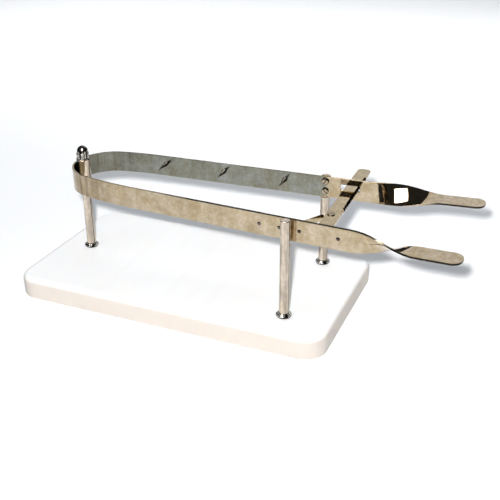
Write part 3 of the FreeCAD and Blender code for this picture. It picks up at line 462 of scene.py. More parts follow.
def refine(node, edge, finish):
    """Copy of a CAD node, its vertices merged and flat faces rejoined, with a bevel modifier."""
    work = bmesh.new()
    work.from_mesh(frame["nodes"][node].data)
    bmesh.ops.remove_doubles(work, verts=work.verts, dist=MERGE)
    bmesh.ops.dissolve_limit(work, angle_limit=FLAT, verts=work.verts, edges=work.edges)
    work.verts.index_update()
    points = [vertex.co[:] for vertex in work.verts]
    faces = [[vertex.index for vertex in face.verts] for face in work.faces]
    work.free()
    name = node.replace("_", "-")
    mesh = bpy.data.meshes.new(name)
    mesh.from_pydata(points, [], faces)
    mesh.shade_smooth()
    piece = dressed(name, mesh, finish)
    bevel = piece.modifiers.new("worn edges", "BEVEL")
    bevel.width, bevel.segments = edge, 2
    bevel.limit_method, bevel.angle_limit = "ANGLE", BEVELLED
    bevel.harden_normals = True
    return in_place_of(node, piece)


def measure(node):
    """A CAD node's centre in plan, its lowest and highest place and half its width."""
    low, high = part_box(node)
    return (low.x + high.x) / 2, (low.y + high.y) / 2, low.z, high.z, (high.x - low.x) / 2


def upright(x, y, z, yaw=0.0):
    return Matrix.Translation((x, y, z)) @ Matrix.Rotation(yaw, 4, "Z")


def heading(strap, side):
    """Unit vectors along an arm and across it towards +Y. Side is 1 for the back arm and -1 for
    the front arm."""
    sine, cosine = side * math.sin(strap.splay), math.cos(strap.splay)
    return np.array((cosine, sine)), np.array((-sine, cosine))


def arm_offset(strap, side):
    """Where an arm's line crosses x = 0."""
    return strap.back_offset if side > 0 else -strap.front_offset


def arm_place(side, strap, x, y, z, roll=0.0):
    """Place in an arm's frame, whose x runs along the arm and whose y runs towards +Y."""
    line = upright(0, arm_offset(strap, side), 0, side * strap.splay)
    return line @ upright(x, y, z) @ Matrix.Rotation(roll, 4, "X")


def strap_middle():
    """Height of the strap's middle line, from the CAD node of the front arm's first rivet."""
    foot, top = measure("leaf_rivet_1")[2:4]
    return (foot + top) / 2


# ---------------------------------------------------------------- materials

def add(tree, kind, inputs=None, **settings):
    """A new node. Inputs are sockets to link or values to set."""
    made = tree.nodes.new("ShaderNode" + kind)
    for key, value in settings.items():
        setattr(made, key, value)
    for key, value in (inputs or {}).items():
        if isinstance(value, bpy.types.NodeSocket):
            tree.links.new(value, made.inputs[key])
        else:
            made.inputs[key].default_value = value
    return made


def maths(tree, how, first, second):
    return add(tree, "Math", {0: first, 1: second}, operation=how).outputs[0]


def blend(tree, share, first, second, how="MIX"):
    mix = add(tree, "Mix", {0: share, 6: first, 7: second}, data_type="RGBA", blend_type=how)
    return mix.outputs[2]


def fitted(tree, value, low, high, source_low=0.0, source_high=1.0):
    return add(tree, "MapRange", {
        "Value": value, "From Min": source_low, "From Max": source_high,
        "To Min": low, "To Max": high}).outputs["Result"]


def mottle(group, given):
    """Cloud, grain and streak masks, 0 to 1, on any coordinates."""
    fine = maths(group, "MULTIPLY", given["Scale"], 14.0)
    pulled = add(group, "VectorMath", {0: given["Vector"], 1: given["Stretch"]},
                 operation="MULTIPLY").outputs[0]
    masks = {}
    for label, vector, scale, detail, low, high in (
            ("Cloud", given["Vector"], given["Scale"], 3.0, 0.32, 0.68),
            ("Grain", given["Vector"], fine, 4.0, 0.3, 0.7),
            ("Streak", pulled, given["Scale"], 5.0, 0.3, 0.7)):
        noise = add(group, "TexNoise", {"Vector": vector, "Scale": scale, "Detail": detail})
        masks[label] = fitted(group, noise.outputs["Fac"], 0.0, 1.0, low, high)
    return masks


def edge_lean_mask(group, given):
    """Mask of the edges, from how far a rounded normal leans from the true one."""
    soft = add(group, "Bevel", {"Radius": given["Width"]}, samples=4).outputs["Normal"]
    true = add(group, "NewGeometry").outputs["Normal"]
    lean = add(group, "VectorMath", {0: soft, 1: true}, operation="DOT_PRODUCT").outputs["Value"]
    mask = fitted(group, lean, 0.0, 1.0, 0.995, 0.85)
    return {"Edge": maths(group, "MULTIPLY", mask, given["Breakup"])}


def hairlines(group, given):
    """Height of fine scratches that run across each other."""
    height = 0.0
    for turn in (0.35, 1.45, 2.6):
        lean = add(group, "Mapping", {
            "Vector": given["Vector"], "Rotation": (turn, turn * 0.6, turn),
            "Scale": (1.0, 0.03, 1.0)})
        line = add(group, "TexNoise", {
            "Vector": lean.outputs[0], "Scale": given["Scale"], "Detail": 2.0})
        thin = fitted(group, line.outputs["Fac"], 0.0, 1.0, 0.62, 0.72)
        height = maths(group, "MAXIMUM", height, thin)
    return {"Height": height}


def band(group, given):
    """Mask that has its full strength while a value lies between start and end, with soft ends."""
    start, end, soft = given["Start"], given["End"], given["Soft"]
    rise = fitted(group, given["Value"], 0.0, 1.0, start, maths(group, "ADD", start, soft))
    fall = fitted(group, given["Value"], 1.0, 0.0, maths(group, "SUBTRACT", end, soft), end)
    both = maths(group, "MULTIPLY", rise, fall)
    return {"Mask": maths(group, "MULTIPLY", both, given["Strength"])}


NOWHERE = (0.0, 0.0, 0.0)
GROUPS = {
    # name: what it holds, and its inputs with what they are where nothing is given
    "Mottle": (mottle, {"Vector": NOWHERE, "Scale": 60.0, "Stretch": (1.0, 1.0, 1.0)}),
    "Edge mask": (edge_lean_mask, {"Width": 0.0005, "Breakup": 0.5}),
    "Hairlines": (hairlines, {"Vector": NOWHERE, "Scale": 120.0}),
    "Band": (band, {"Value": 0.0, "Start": 0.0, "End": 1.0, "Soft": 0.001, "Strength": 1.0}),
}


def shared(name):
    """The shared node group of that name, made on first use."""
    if name in bpy.data.node_groups:
        return bpy.data.node_groups[name]
    make, inputs = GROUPS[name]
    group = bpy.data.node_groups.new(name, "ShaderNodeTree")
    for label, default in inputs.items():
        kind = "NodeSocketVector" if isinstance(default, tuple) else "NodeSocketFloat"
        socket = group.interface.new_socket(label, in_out="INPUT", socket_type=kind)
        socket.default_value = default
    masks = make(group, group.nodes.new("NodeGroupInput").outputs)
    result = group.nodes.new("NodeGroupOutput")
    for label, mask in masks.items():
        group.interface.new_socket(label, in_out="OUTPUT", socket_type="NodeSocketFloat")
        group.links.new(mask, result.inputs[label])
    return group


def use(tree, name, **inputs):
    """Outputs of a node that holds a shared group."""
    return add(tree, "Group", inputs, node_tree=shared(name)).outputs


def coordinate(tree, place, source):
    """How far a point lies along or round its surface, above the floor, or away from a head's
    middle."""
    if source == "away":
        return add(tree, "VectorMath", {0: place["UV"]}, operation="LENGTH").outputs["Value"]
    space, axis = {"run": ("UV", "X"), "round": ("UV", "Y"), "height": ("Object", "Z")}[source]
    return add(tree, "SeparateXYZ", {0: place[space]}).outputs[axis]


def span(tree, value, start, end, soft, strength=1.0):
    return use(tree, "Band", Value=value, Start=start, End=end, Soft=soft,
               Strength=strength)["Mask"]


def new_material(name):
    finish = bpy.data.materials.new(name)
    finish.use_nodes = True
    tree = finish.node_tree
    return finish, tree, tree.nodes["Principled BSDF"]


def connect(tree, shader, colour, gloss, relief, strength, depth=0.0001):
    """Links a finish to its shader: colour, roughness and, from a height, the bumps."""
    tree.links.new(colour, shader.inputs["Base Color"])
    tree.links.new(gloss, shader.inputs["Roughness"])
    raised = add(tree, "Bump", {"Height": relief, "Strength": strength, "Distance": depth})
    tree.links.new(raised.outputs["Normal"], shader.inputs["Normal"])


def metal(name, light, dark, edge_tone, rough, scale, stretch=(1, 1, 1), streaks=0.5, bump=0.05,
          on_run=False, grain=0.35, edge_width=0.0006, painted_reflection_bars=0.0, reflection_bar_scale=260.0,
          painted_shade_bands=(), painted_shade_tone=(0.03, 0.022, 0.016, 1), over=None):
    """Bright metal: clouded, streaked and speckled colour, toned edges, uneven gloss, hairlines.
    Painted reflection bars are the dark and light bands that a round polished piece shows along its
    length, painted into its colour as the reflections of a dark room. Painted shade bands are dark
    too: (coordinate, start, end, soft end, strength). Over lays what one metal alone has on top."""
    if name in bpy.data.materials:
        return bpy.data.materials[name]
    finish, tree, shader = new_material(name)
    place = add(tree, "TexCoord").outputs
    mottled = use(tree, "Mottle", Vector=place["UV" if on_run else "Object"], Scale=scale,
                  Stretch=stretch)
    lines = use(tree, "Hairlines", Vector=place["Object"])["Height"]
    base = blend(tree, mottled["Cloud"], light, [(a + b) / 2 for a, b in zip(light, dark)])
    base = blend(tree, fitted(tree, mottled["Streak"], 0.0, streaks), base, dark)
    base = blend(tree, fitted(tree, mottled["Grain"], 0.0, grain, 0.5, 1.0), base, dark)
    # Painted reflection: dark bars along a round piece, where a polished surface would mirror a
    # dark room.
    if painted_reflection_bars:
        reflection_bar_mask = use(tree, "Mottle", Vector=place["UV"], Scale=reflection_bar_scale, Stretch=(1.0, 0.12, 1.0))
        base = blend(tree, fitted(tree, reflection_bar_mask["Streak"], 0.0, painted_reflection_bars, 0.45, 0.6), base,
                     (0.015, 0.013, 0.012, 1))
    base = blend(tree, use(tree, "Edge mask", Width=edge_width)["Edge"], base, edge_tone)
    gloss = maths(tree, "ADD", fitted(tree, mottled["Cloud"], *rough),
                  fitted(tree, lines, 0.0, 0.03))
    # Painted shade and painted dark reflections, in bands along a coordinate: down a post or
    # sleeve, in a screw's slot and round its rim, and the contact shadow at a collar's foot.
    mask = 0.0
    for source, *limits in painted_shade_bands:
        mask = maths(tree, "MAXIMUM", mask, span(tree, coordinate(tree, place, source), *limits))
    if painted_shade_bands:
        base = blend(tree, mask, base, painted_shade_tone)
    if over:
        base, gloss = over(tree, place, base, gloss)
    relief = maths(tree, "ADD", mottled["Streak"], fitted(tree, lines, 0.0, -0.4))
    connect(tree, shader, base, gloss, relief, bump)
    shader.inputs["Metallic"].default_value = 1.0
    return finish


# Stretches of the strap's surface as (start, end, soft end, strength), along it from the back
# handle's tip and round its section from the foot of its inner face.
BACK_ARM_RUN = (0.209, 0.62, 0.006)
NOSE_RUN = (0.47, 0.72, 0.05)
FRONT_ARM_RUN = (0.78, 1.12, 0.06)
SPIKES_RUN = (0.20, 0.56, 0.03, 0.7)
INNER_FACE = (-0.001, 0.0298, 0.0004)
# Where the painted dark line along the strap's rims runs, round its section.
UPPER_RIM = (0.0290, 0.0332, 0.0004)
LOWER_RIM = (0.0602, 0.0650, 0.0004)
BACK_HANDLE_END, FRONT_HANDLE_START = (0.060, 0.080), (1.085, 1.10)


def strap_tone_and_painted_light(tree, place, base, gloss):
    """What the strap alone shows: warm and green patches, spots with light flecks painted as
    highlights, painted shade on the inside of the back arm, which is also rougher, painted
    reflection streaks on the nose and a painted dark line along the rims."""
    run, round_ = (coordinate(tree, place, source) for source in ("run", "round"))
    patch = use(tree, "Mottle", Vector=place["UV"], Scale=42.0)
    spots_and_glints = use(tree, "Mottle", Vector=place["UV"], Scale=14.0)["Grain"]
    lines = use(tree, "Mottle", Vector=place["UV"], Scale=150.0, Stretch=(1.0, 0.02, 1.0))

    def both(first, second):
        return maths(tree, "MULTIPLY", first, second)

    def either(first, second):
        return maths(tree, "MAXIMUM", first, second)

    # Painted shade: the inside of the back arm is darkened to a cool grey, and made rougher.
    dull_and_shaded = both(span(tree, round_, *INNER_FACE), span(tree, run, *BACK_ARM_RUN))
    # Painted reflections: dark streaks down the nose.
    nose_reflection_streaks = both(span(tree, run, *NOSE_RUN), fitted(tree, lines["Streak"], 0.0, 0.6))
    # Painted shade: a dark line along the upper rim of the arms, and along both rims of the
    # handles.
    upper, lower = span(tree, round_, *UPPER_RIM), span(tree, round_, *LOWER_RIM)
    handles = either(fitted(tree, run, 1.0, 0.0, *BACK_HANDLE_END),
                     fitted(tree, run, 0.0, 1.0, *FRONT_HANDLE_START))
    arms = either(span(tree, run, *FRONT_ARM_RUN), span(tree, run, *SPIKES_RUN))
    rim = either(both(upper, arms), both(either(upper, lower), handles))
    for mask, tone, how in (
            (fitted(tree, patch["Cloud"], 0.0, 0.7), (0.84, 0.87, 0.68, 1), "MULTIPLY"),
            (fitted(tree, patch["Streak"], 0.0, 0.5, 0.4, 1.0), (0.95, 0.80, 0.78, 1), "MULTIPLY"),
            (fitted(tree, spots_and_glints, 0.0, 0.45, 0.5, 1.0), (0.78, 0.72, 0.50, 1), "MULTIPLY"),
            # Painted highlights: light flecks where the spots mask is low.
            (fitted(tree, spots_and_glints, 0.14, 0.0, 0.0, 0.4), (1.0, 0.93, 0.86, 1), "MIX"),
            # painted shade inside the back arm
            (dull_and_shaded, (0.49, 0.60, 0.72, 1), "MULTIPLY"),
            # painted reflection streaks on the nose
            (nose_reflection_streaks, (0.30, 0.27, 0.24, 1), "MULTIPLY"),
            # painted dark line along the rims
            (fitted(tree, rim, 0.0, 0.97), (0.01, 0.008, 0.006, 1), "MIX")):
        base = blend(tree, mask, base, tone, how)
    return base, maths(tree, "ADD", gloss, fitted(tree, dull_and_shaded, 0.0, 0.13))


def strap_finish():
    """Polished spring steel, warm in tone; its dark edge tone is painted shade along the edges."""
    return metal(
        "Polished strap", (0.67, 0.565, 0.45, 1), (0.31, 0.23, 0.13, 1), (0.16, 0.12, 0.08, 1),
        (0.02, 0.07), 60.0, stretch=(2.5, 0.10, 1), streaks=0.3, bump=0.12,
        on_run=True, grain=0.9, edge_width=0.0004, over=strap_tone_and_painted_light)


def post_finish():
    """Polished round bar, with painted reflection bars round it, a painted dark reflection band
    down the right and a thin one down the left.
    """
    return metal(
        "Polished bar", (0.84, 0.75, 0.64, 1), (0.46, 0.37, 0.28, 1), (0.80, 0.72, 0.62, 1),
        (0.06, 0.12), 160.0, stretch=(3.0, 3.0, 0.02), streaks=0.5, bump=0.08,
        painted_reflection_bars=0.3, reflection_bar_scale=150.0,
        painted_shade_bands=(("run", 0.0383, 0.0402, 0.0005, 1.0), ("run", 0.0262, 0.0277, 0.0005, 0.6)))


def sleeve_finish():
    """Drawn tube, bright in front, with painted shade down its left third and right edge."""
    radius = measure("nose_sleeve")[4]
    return metal(
        "Drawn sleeve", (0.84, 0.74, 0.62, 1), (0.42, 0.33, 0.24, 1), (0.80, 0.72, 0.60, 1),
        (0.10, 0.18), 150.0, stretch=(2.5, 2.5, 0.03), streaks=0.5, bump=0.1,
        painted_shade_bands=(("run", radius * 3.6, radius * 4.75, radius * 0.12, 0.92),
               ("run", radius * 6.0, radius * 6.5, radius * 0.2, 0.92)),
        painted_shade_tone=(0.03, 0.022, 0.02, 1))


def chrome_finish():
    # Bright plating with painted reflection bars: dark bands round the dome nut and washer where
    # they would mirror a dark room.
    return metal(
        "Bright plating", (0.66, 0.62, 0.56, 1), (0.12, 0.11, 0.10, 1), (0.55, 0.50, 0.45, 1),
        (0.03, 0.06), 220.0, streaks=0.5, bump=0.02, grain=0.1, painted_reflection_bars=0.98, reflection_bar_scale=230.0)


def collar_finish():
    """Bright plating with painted reflection bars round it and a painted contact shadow: a black
    line where the collar sits on the board.
    """
    foot = measure("front_collar")[2]
    return metal(
        "Plated collar", (0.86, 0.84, 0.80, 1), (0.30, 0.28, 0.25, 1), (0.9, 0.88, 0.86, 1),
        (0.03, 0.06), 220.0, streaks=0.3, bump=0.02, grain=0.1, painted_reflection_bars=0.98, reflection_bar_scale=330.0,
        # painted contact shadow at the collar's foot
        painted_shade_bands=(("height", foot - 0.001, foot + 0.0021, 0.0003, 1.0),),
        painted_shade_tone=(0.006, 0.006, 0.006, 1))


def latch_finish():
    return metal(
        "Latch steel", (0.63, 0.52, 0.34, 1), (0.28, 0.22, 0.13, 1), (0.30, 0.24, 0.17, 1),
        (0.03, 0.07), 90.0, stretch=(1.0, 0.15, 1.0), streaks=0.3, bump=0.08, grain=0.9,
        edge_width=0.0003)


def spike_finish():
    return metal(
        "Turned spike", (0.26, 0.22, 0.20, 1), (0.014, 0.011, 0.01, 1), (0.04, 0.03, 0.03, 1),
        (0.08, 0.16), 260.0, stretch=(0.2, 2.0, 0.2), streaks=0.95, bump=0.1)


def fastener_finish():
    return metal(
        "Nickel plate", (0.52, 0.43, 0.31, 1), (0.22, 0.17, 0.11, 1), (0.03, 0.025, 0.02, 1),
        (0.10, 0.18), 300.0, streaks=0.35, bump=0.06, edge_width=0.0009)


def screw_finish(screw, ring):
    """Nickel plate with painted shade in the driver slot and, in a share, round the head's rim."""
    half = screw.slot_width * 0.6
    return metal(
        "Screw head %d" % round(ring * 100), (0.52, 0.43, 0.31, 1), (0.30, 0.24, 0.16, 1),
        (0.30, 0.25, 0.18, 1), (0.10, 0.18), 300.0, streaks=0.35, bump=0.06,
        # Painted shade in the driver slot, and round the head's rim as far as ring says.
        painted_shade_bands=(("round", -half, half, 0.00012, 1.0),
               ("away", screw.head * 0.40, screw.head, screw.head * 0.04, ring)),
        painted_shade_tone=(0.015, 0.012, 0.01, 1))


def board_finish():
    """White polyethylene: faint warm clouds, knife marks, soft sheen and painted shade on the
    sides, which are darkened to cream where the face leans away from up.
    """
    if "Polyethylene" in bpy.data.materials:
        return bpy.data.materials["Polyethylene"]
    finish, tree, shader = new_material("Polyethylene")
    place = add(tree, "TexCoord").outputs["Object"]
    mottled = use(tree, "Mottle", Vector=place, Scale=14.0)
    cuts = use(tree, "Hairlines", Vector=place, Scale=55.0)["Height"]
    normal = add(tree, "NewGeometry").outputs["Normal"]
    level = add(tree, "SeparateXYZ", {0: normal}).outputs["Z"]
    base = blend(tree, mottled["Cloud"], (0.90, 0.90, 0.895, 1), (0.885, 0.875, 0.86, 1))
    for mask, tone in (
            # Painted shade: faces that lean away from up are darkened to cream.
            (fitted(tree, level, 1.0, 0.0, 0.3, 0.8), (0.54, 0.49, 0.445, 1)),
            (use(tree, "Edge mask", Width=0.002)["Edge"], (0.96, 0.94, 0.91, 1)),
            (fitted(tree, cuts, 0.0, 0.06), (0.72, 0.68, 0.62, 1))):
        base = blend(tree, mask, base, tone)
    relief = maths(tree, "ADD", fitted(tree, mottled["Grain"], 0.0, 0.4),
                   fitted(tree, cuts, 0.0, -0.5))
    connect(tree, shader, base, fitted(tree, mottled["Grain"], 0.42, 0.58), relief, 0.12, 0.0002)
    shader.inputs["Subsurface Weight"].default_value = 0.25
    shader.inputs["Subsurface Radius"].default_value = (0.006, 0.005, 0.004)
    shader.inputs["Subsurface Scale"].default_value = 1.0
    return finish


# ---------------------------------------------------------------- strap

def nose_joint(strap, side):
    """Where a shoulder's arc meets the nose: (shoulder's centre, angle at the nose's centre)."""
    nose = np.array((strap.nose_x, strap.nose_y))
    radius = strap.back_shoulder if side > 0 else strap.front_shoulder
    along, across = heading(strap, side)
    inward = -side * across
    origin = np.array((0, arm_offset(strap, side)))
    nose_along, nose_inward = (nose - origin) @ along, (nose - origin) @ inward
    reach = math.sqrt((radius - strap.nose_radius) ** 2 - (radius - nose_inward) ** 2)
    centre = origin + along * (nose_along + reach) + inward * radius
    lean = nose - centre
    return centre, math.atan2(lean[1], lean[0]) % (2 * math.pi), nose_along + reach


def handle_stations(strap, start, twist_length):
    """Stations along an arm from its twist to its tip: half thickness, half height and turn."""
    square = strap.tip_x - strap.tip_radius - strap.edge
    twist = np.linspace(start, start + twist_length, TWIST_POINTS)
    paddle = np.linspace(twist[-1], square, PADDLE_POINTS)[1:]
    bend, finish = quarter(TIP_POINTS)[1:], quarter(EDGE_POINTS)[1:]
    corner = square + strap.tip_radius * np.sin(bend)
    x = np.concatenate((twist, paddle, corner, corner[-1] + strap.edge * np.sin(finish)))
    high = np.full(len(x), strap.height / 2)
    inner = strap.height / 2 - strap.tip_radius
    high[-len(bend) - len(finish):-len(finish)] = inner + strap.tip_radius * np.cos(bend)
    high[-len(finish):] = inner - strap.edge * (1 - np.cos(finish))
    thick = np.full(len(x), strap.thickness / 2)
    thick[-len(finish):] -= strap.edge * (1 - np.cos(finish))
    share = np.clip((x - start) / twist_length, 0, 1)
    return x, thick, high, math.pi / 2 * share * share * (3 - 2 * share)


def strap_rows(strap, slot):
    """Stations of the whole strap, from the back handle's tip round the nose to the front one's:
    plan points, outward normals, height, half thickness, half height and turn."""
    rows = []

    def cells(size):
        return max(2, math.ceil(abs(size) / strap.step))

    def lay(plan, out, lift=0.0, thick=strap.thickness / 2, high=strap.height / 2, turn=0.0):
        rows.append((plan, out, *(value + np.zeros(len(plan)) for value in (
            lift, thick, high, turn))))

    def arm(side, start, x, *shape):
        along, across = heading(strap, side)
        lay(x[:, None] * along + (0, arm_offset(strap, side)),
            np.broadcast_to(side * across, (len(x), 2)),
            np.maximum(x - start, 0) * math.tan(strap.rise), *shape)

    def straight(side, start, *marks):
        for first, last in zip(marks, marks[1:]):
            arm(side, start, np.linspace(first, last, cells(last - first) + 1))

    def arc(centre, radius, first, last, finer=1):
        out = unit(np.linspace(first, last, cells((last - first) * radius * finer) + 1))
        lay(centre + radius * out, out)

    back_centre, back_joint, back_x = nose_joint(strap, 1)
    front_centre, front_joint, front_x = nose_joint(strap, -1)
    back, front = strap.back_twist_start, strap.front_twist_start
    arm(1, back, *(column[::-1] for column in handle_stations(
        strap, back, strap.back_twist_length)))
    straight(1, back, back, slot.right + slot.margin, slot.left - slot.margin, back_x)
    arc(back_centre, strap.back_shoulder, math.pi / 2 + strap.splay, back_joint)
    arc(np.array((strap.nose_x, strap.nose_y)), strap.nose_radius, back_joint, front_joint, 2)
    arc(front_centre, strap.front_shoulder, front_joint, math.pi * 3 / 2 - strap.splay)
    straight(-1, front, front_x, front)
    arm(-1, front, *handle_stations(strap, front, strap.front_twist_length))
    joined = [np.concatenate(column) for column in zip(*rows)]
    new = np.diff(run_lengths(joined[0]), prepend=-1.0) > MERGE
    return [column[new] for column in joined]


def slot_patch(strap, slot, xs, middle, along, outer_start):
    """The strap round the slot. P(k, j) runs k round the slot and j from the outer face's grid,
    over the slot's rim, through the strap and back out on the inner face."""
    half = strap.thickness / 2
    flat = strap.height / 2 - strap.edge
    zs = np.linspace(-flat, flat, strap.across + 1)
    right, left = xs[0], xs[-1]
    ring = np.array([(left, z) for z in zs] + [(x, flat) for x in xs[::-1][1:]]
                    + [(right, z) for z in zs[::-1][1:]] + [(x, -flat) for x in xs[1:]])
    square = columns(2 * (ring[:, 0] - left) / (right - left) - 1, ring[:, 1] / flat)
    size = np.array((slot.right - slot.left, slot.high - slot.low)) / 2
    centre = np.array((slot.right + slot.left, slot.high + slot.low)) / 2

    def hole(grow):
        reach, radius = size + grow, slot.corner + grow
        point = square * reach
        over = np.abs(point) - (reach - radius)
        cornered = (over > 0).all(axis=1)
        pull = over[cornered] / np.linalg.norm(over[cornered], axis=1)[:, None]
        point[cornered] = np.sign(point[cornered]) * (reach - radius + pull * radius)
        return centre + point

    faces = [(ring * share + hole(slot.chamfer) * (1 - share), half)
             for share in SLOT_RINGS]
    faces.append((hole(0.0), half - slot.chamfer))
    faces += [(plan, -depth) for plan, depth in faces[::-1]]
    points = np.stack([columns(plan[:, 0], depth, plan[:, 1] + middle)
                       for plan, depth in faces], axis=1)
    uv = np.stack([columns(along + right - plan[:, 0],
                           outer_start + flat - plan[:, 1] if depth > 0 else plan[:, 1] + flat)
                   for plan, depth in faces], axis=1)
    return placed(points, arm_place(1, strap, 0, 0, 0)), uv


class HAMHOLDER_OT_strap(Operator):
    """Build the spring strap as one piece, with twisted handles and the slot for the latch bar"""

    bl_idname = "ham_holder.strap"
    bl_label = "Strap"

    def execute(self, context):
        strap, slot = context.scene.ham_holder.strap, context.scene.ham_holder.slot
        middle = strap_middle()
        path, out, lift, thick, high, turn = strap_rows(strap, slot)
        points, uv = strip(path, out, middle + lift, thick, high, turn, strap.edge, strap.across)
        arm_x = (path - (0, strap.back_offset)) @ heading(strap, 1)[0]
        inside = path[:, 1] > strap.nose_y + strap.nose_radius
        inside &= arm_x > slot.left - slot.margin - MERGE
        inside &= arm_x < slot.right + slot.margin + MERGE
        stations = np.flatnonzero(inside)
        keep = np.ones((points.shape[0] - 1, points.shape[1] - 1), bool)
        outer = strap.across + 1 + RIM_ROWS
        for first in (0, outer):
            keep[stations[0]:stations[-1], first:first + strap.across] = False
        patch = slot_patch(strap, slot, arm_x[stations], middle, *uv[stations[0], outer])
        piece = build("strap", [(points, uv, keep), patch], strap_finish())
        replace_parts(piece, "strap_back_arm", "strap_front_arm")
        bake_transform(piece)
        return {"FINISHED"}


# ---------------------------------------------------------------- board, posts and nose

def upright_lathe(corners, x, y, turned):
    return lathe(rounded_path(corners), upright(x, y, 0), turned.segments)


class HAMHOLDER_OT_board(Operator):
    """Finish the cutting board as white polyethylene, and the bolts and washers under it"""

    bl_idname = "ham_holder.board"
    bl_label = "Board and fixings"

    def execute(self, context):
        board = frame["nodes"]["cutting_board"]
        board.data.materials.clear()
        board.data.materials.append(board_finish())
        for place in PLACES:
            refine(place + "_bolt", WORN_EDGE, fastener_finish())
            refine(place + "_bolt_washer", WASHER_EDGE, fastener_finish())
        return {"FINISHED"}


def seated(points, uv, strap, x, y):
    """A post's surface with a flat seat for the back arm: above the strap's lower edge no point
    comes closer to the arm than the seat. The row at that edge is doubled, for the ledge."""
    ledge = strap_middle() - strap.height / 2
    heights = points[0, :, 2]
    row = int(np.searchsorted(heights, ledge))
    share = (ledge - heights[row - 1]) / (heights[row] - heights[row - 1])

    def split(grid):
        low, high = grid[:, row - 1], grid[:, row]
        level = (low + (high - low) * share)[:, None]
        return np.concatenate((grid[:, :row], level, level, grid[:, row:]), axis=1)

    points, uv = split(points), split(uv)
    out = heading(strap, 1)[1]
    seat = strap.thickness / 2 - np.array((x, y - strap.back_offset)) @ out
    upper = points[:, row + 1:, :2]
    points[:, row + 1:, :2] = upper + np.maximum(seat - upper @ out, 0)[..., None] * out
    return points, uv


class HAMHOLDER_OT_posts(Operator):
    """Turn the three posts: plain bar with a rounded top, the nose post stepped down to its stud"""

    bl_idname = "ham_holder.posts"
    bl_label = "Posts"

    def execute(self, context):
        turned, strap = context.scene.ham_holder.turned, context.scene.ham_holder.strap
        radius, stud = turned.post / 2, turned.stud / 2
        for place in PLACES:
            x, y, low, high = measure(place + "_post")[:4]
            if place == "nose":
                shoulder = measure("nose_sleeve")[2]
                top = [(radius, shoulder, turned.post_edge / 2), (stud, shoulder, 0),
                       (stud, high, 0)]
            else:
                top = [(radius, high, turned.post_edge)]
            corners = [(0, low, 0), (radius, low, 0), *top, (0, high, 0)]
            points, uv = upright_lathe(corners, 0, 0, turned)
            if place == "back":
                points, uv = seated(points, uv, strap, x, y)
            show(place + "_post", post_finish(), "post", (placed(points, upright(x, y, 0)), uv))
        return {"FINISHED"}


class HAMHOLDER_OT_collars(Operator):
    """Turn the bright bell collars at the posts' feet: upright rim, hollow flare, rolled neck"""

    bl_idname = "ham_holder.collars"
    bl_label = "Collars"

    def execute(self, context):
        turned = context.scene.ham_holder.turned
        bore, neck = turned.post / 2 + turned.bore_gap, turned.collar_neck / 2
        for place in PLACES:
            x, y, foot, top, rim = measure(place + "_collar")
            shelf, flare = foot + turned.collar_rim, (rim + neck) / 2 - COLLAR_HOLLOW
            corners = [
                (bore, foot, 0), (rim - COLLAR_HEEL, foot, 0.0002),
                (rim, foot + COLLAR_HEEL_RISE, 0.0012), (rim, shelf, 0.0008),
                (flare, shelf + 0.0002, 0.0011), (neck, top - COLLAR_NECK, 0.0004),
                (neck - 0.0001, top, 0.0003), (bore, top, 0), (bore, foot, 0)]
            show(place + "_collar", collar_finish(), "chrome", upright_lathe(corners, x, y, turned))
        return {"FINISHED"}


def dome_nut(turned, low, high):
    """P(a, k): the radius is the least of the hexagon's and of a 30 degree chamfer cone's up to the
    hexagon's top, and a cylinder that ends in half a sphere above it."""
    half, dome = turned.nut_flats / 2, turned.dome / 2
    hexagon = low + turned.nut_hex
    turn = np.linspace(0, 2 * np.pi, turned.segments + 1)[:, None]
    near = np.linspace(0, NUT_CHAMFER, CHAMFER_POINTS)
    z = np.concatenate((low + near, np.linspace(low + NUT_PLAIN, hexagon - NUT_PLAIN, 5),
                        hexagon - near[::-1]))
    cone = half * NUT_FACE + math.tan(math.radians(60)) * np.minimum(z - low, hexagon - z)
    body = np.minimum(half / np.cos(np.mod(turn, np.pi / 3) - np.pi / 6), cone)
    bend, fillet = quarter(DOME_POINTS), quarter(EDGE_POINTS + 1)
    upper_r = np.concatenate((dome + NUT_FILLET * (1 - np.sin(fillet)), dome * np.cos(bend)))
    upper_z = np.concatenate((hexagon + NUT_FILLET * (1 - np.cos(fillet)),
                              high - dome + dome * np.sin(bend)))
    ones = np.ones_like(turn)
    r = np.concatenate((0 * ones, body, ones * upper_r), axis=1)
    z = np.concatenate((low * ones, ones * z, ones * upper_z), axis=1)
    points = columns(r * np.cos(turn), r * np.sin(turn), z)
    return points, columns(turn * half, z + r * 0.3)


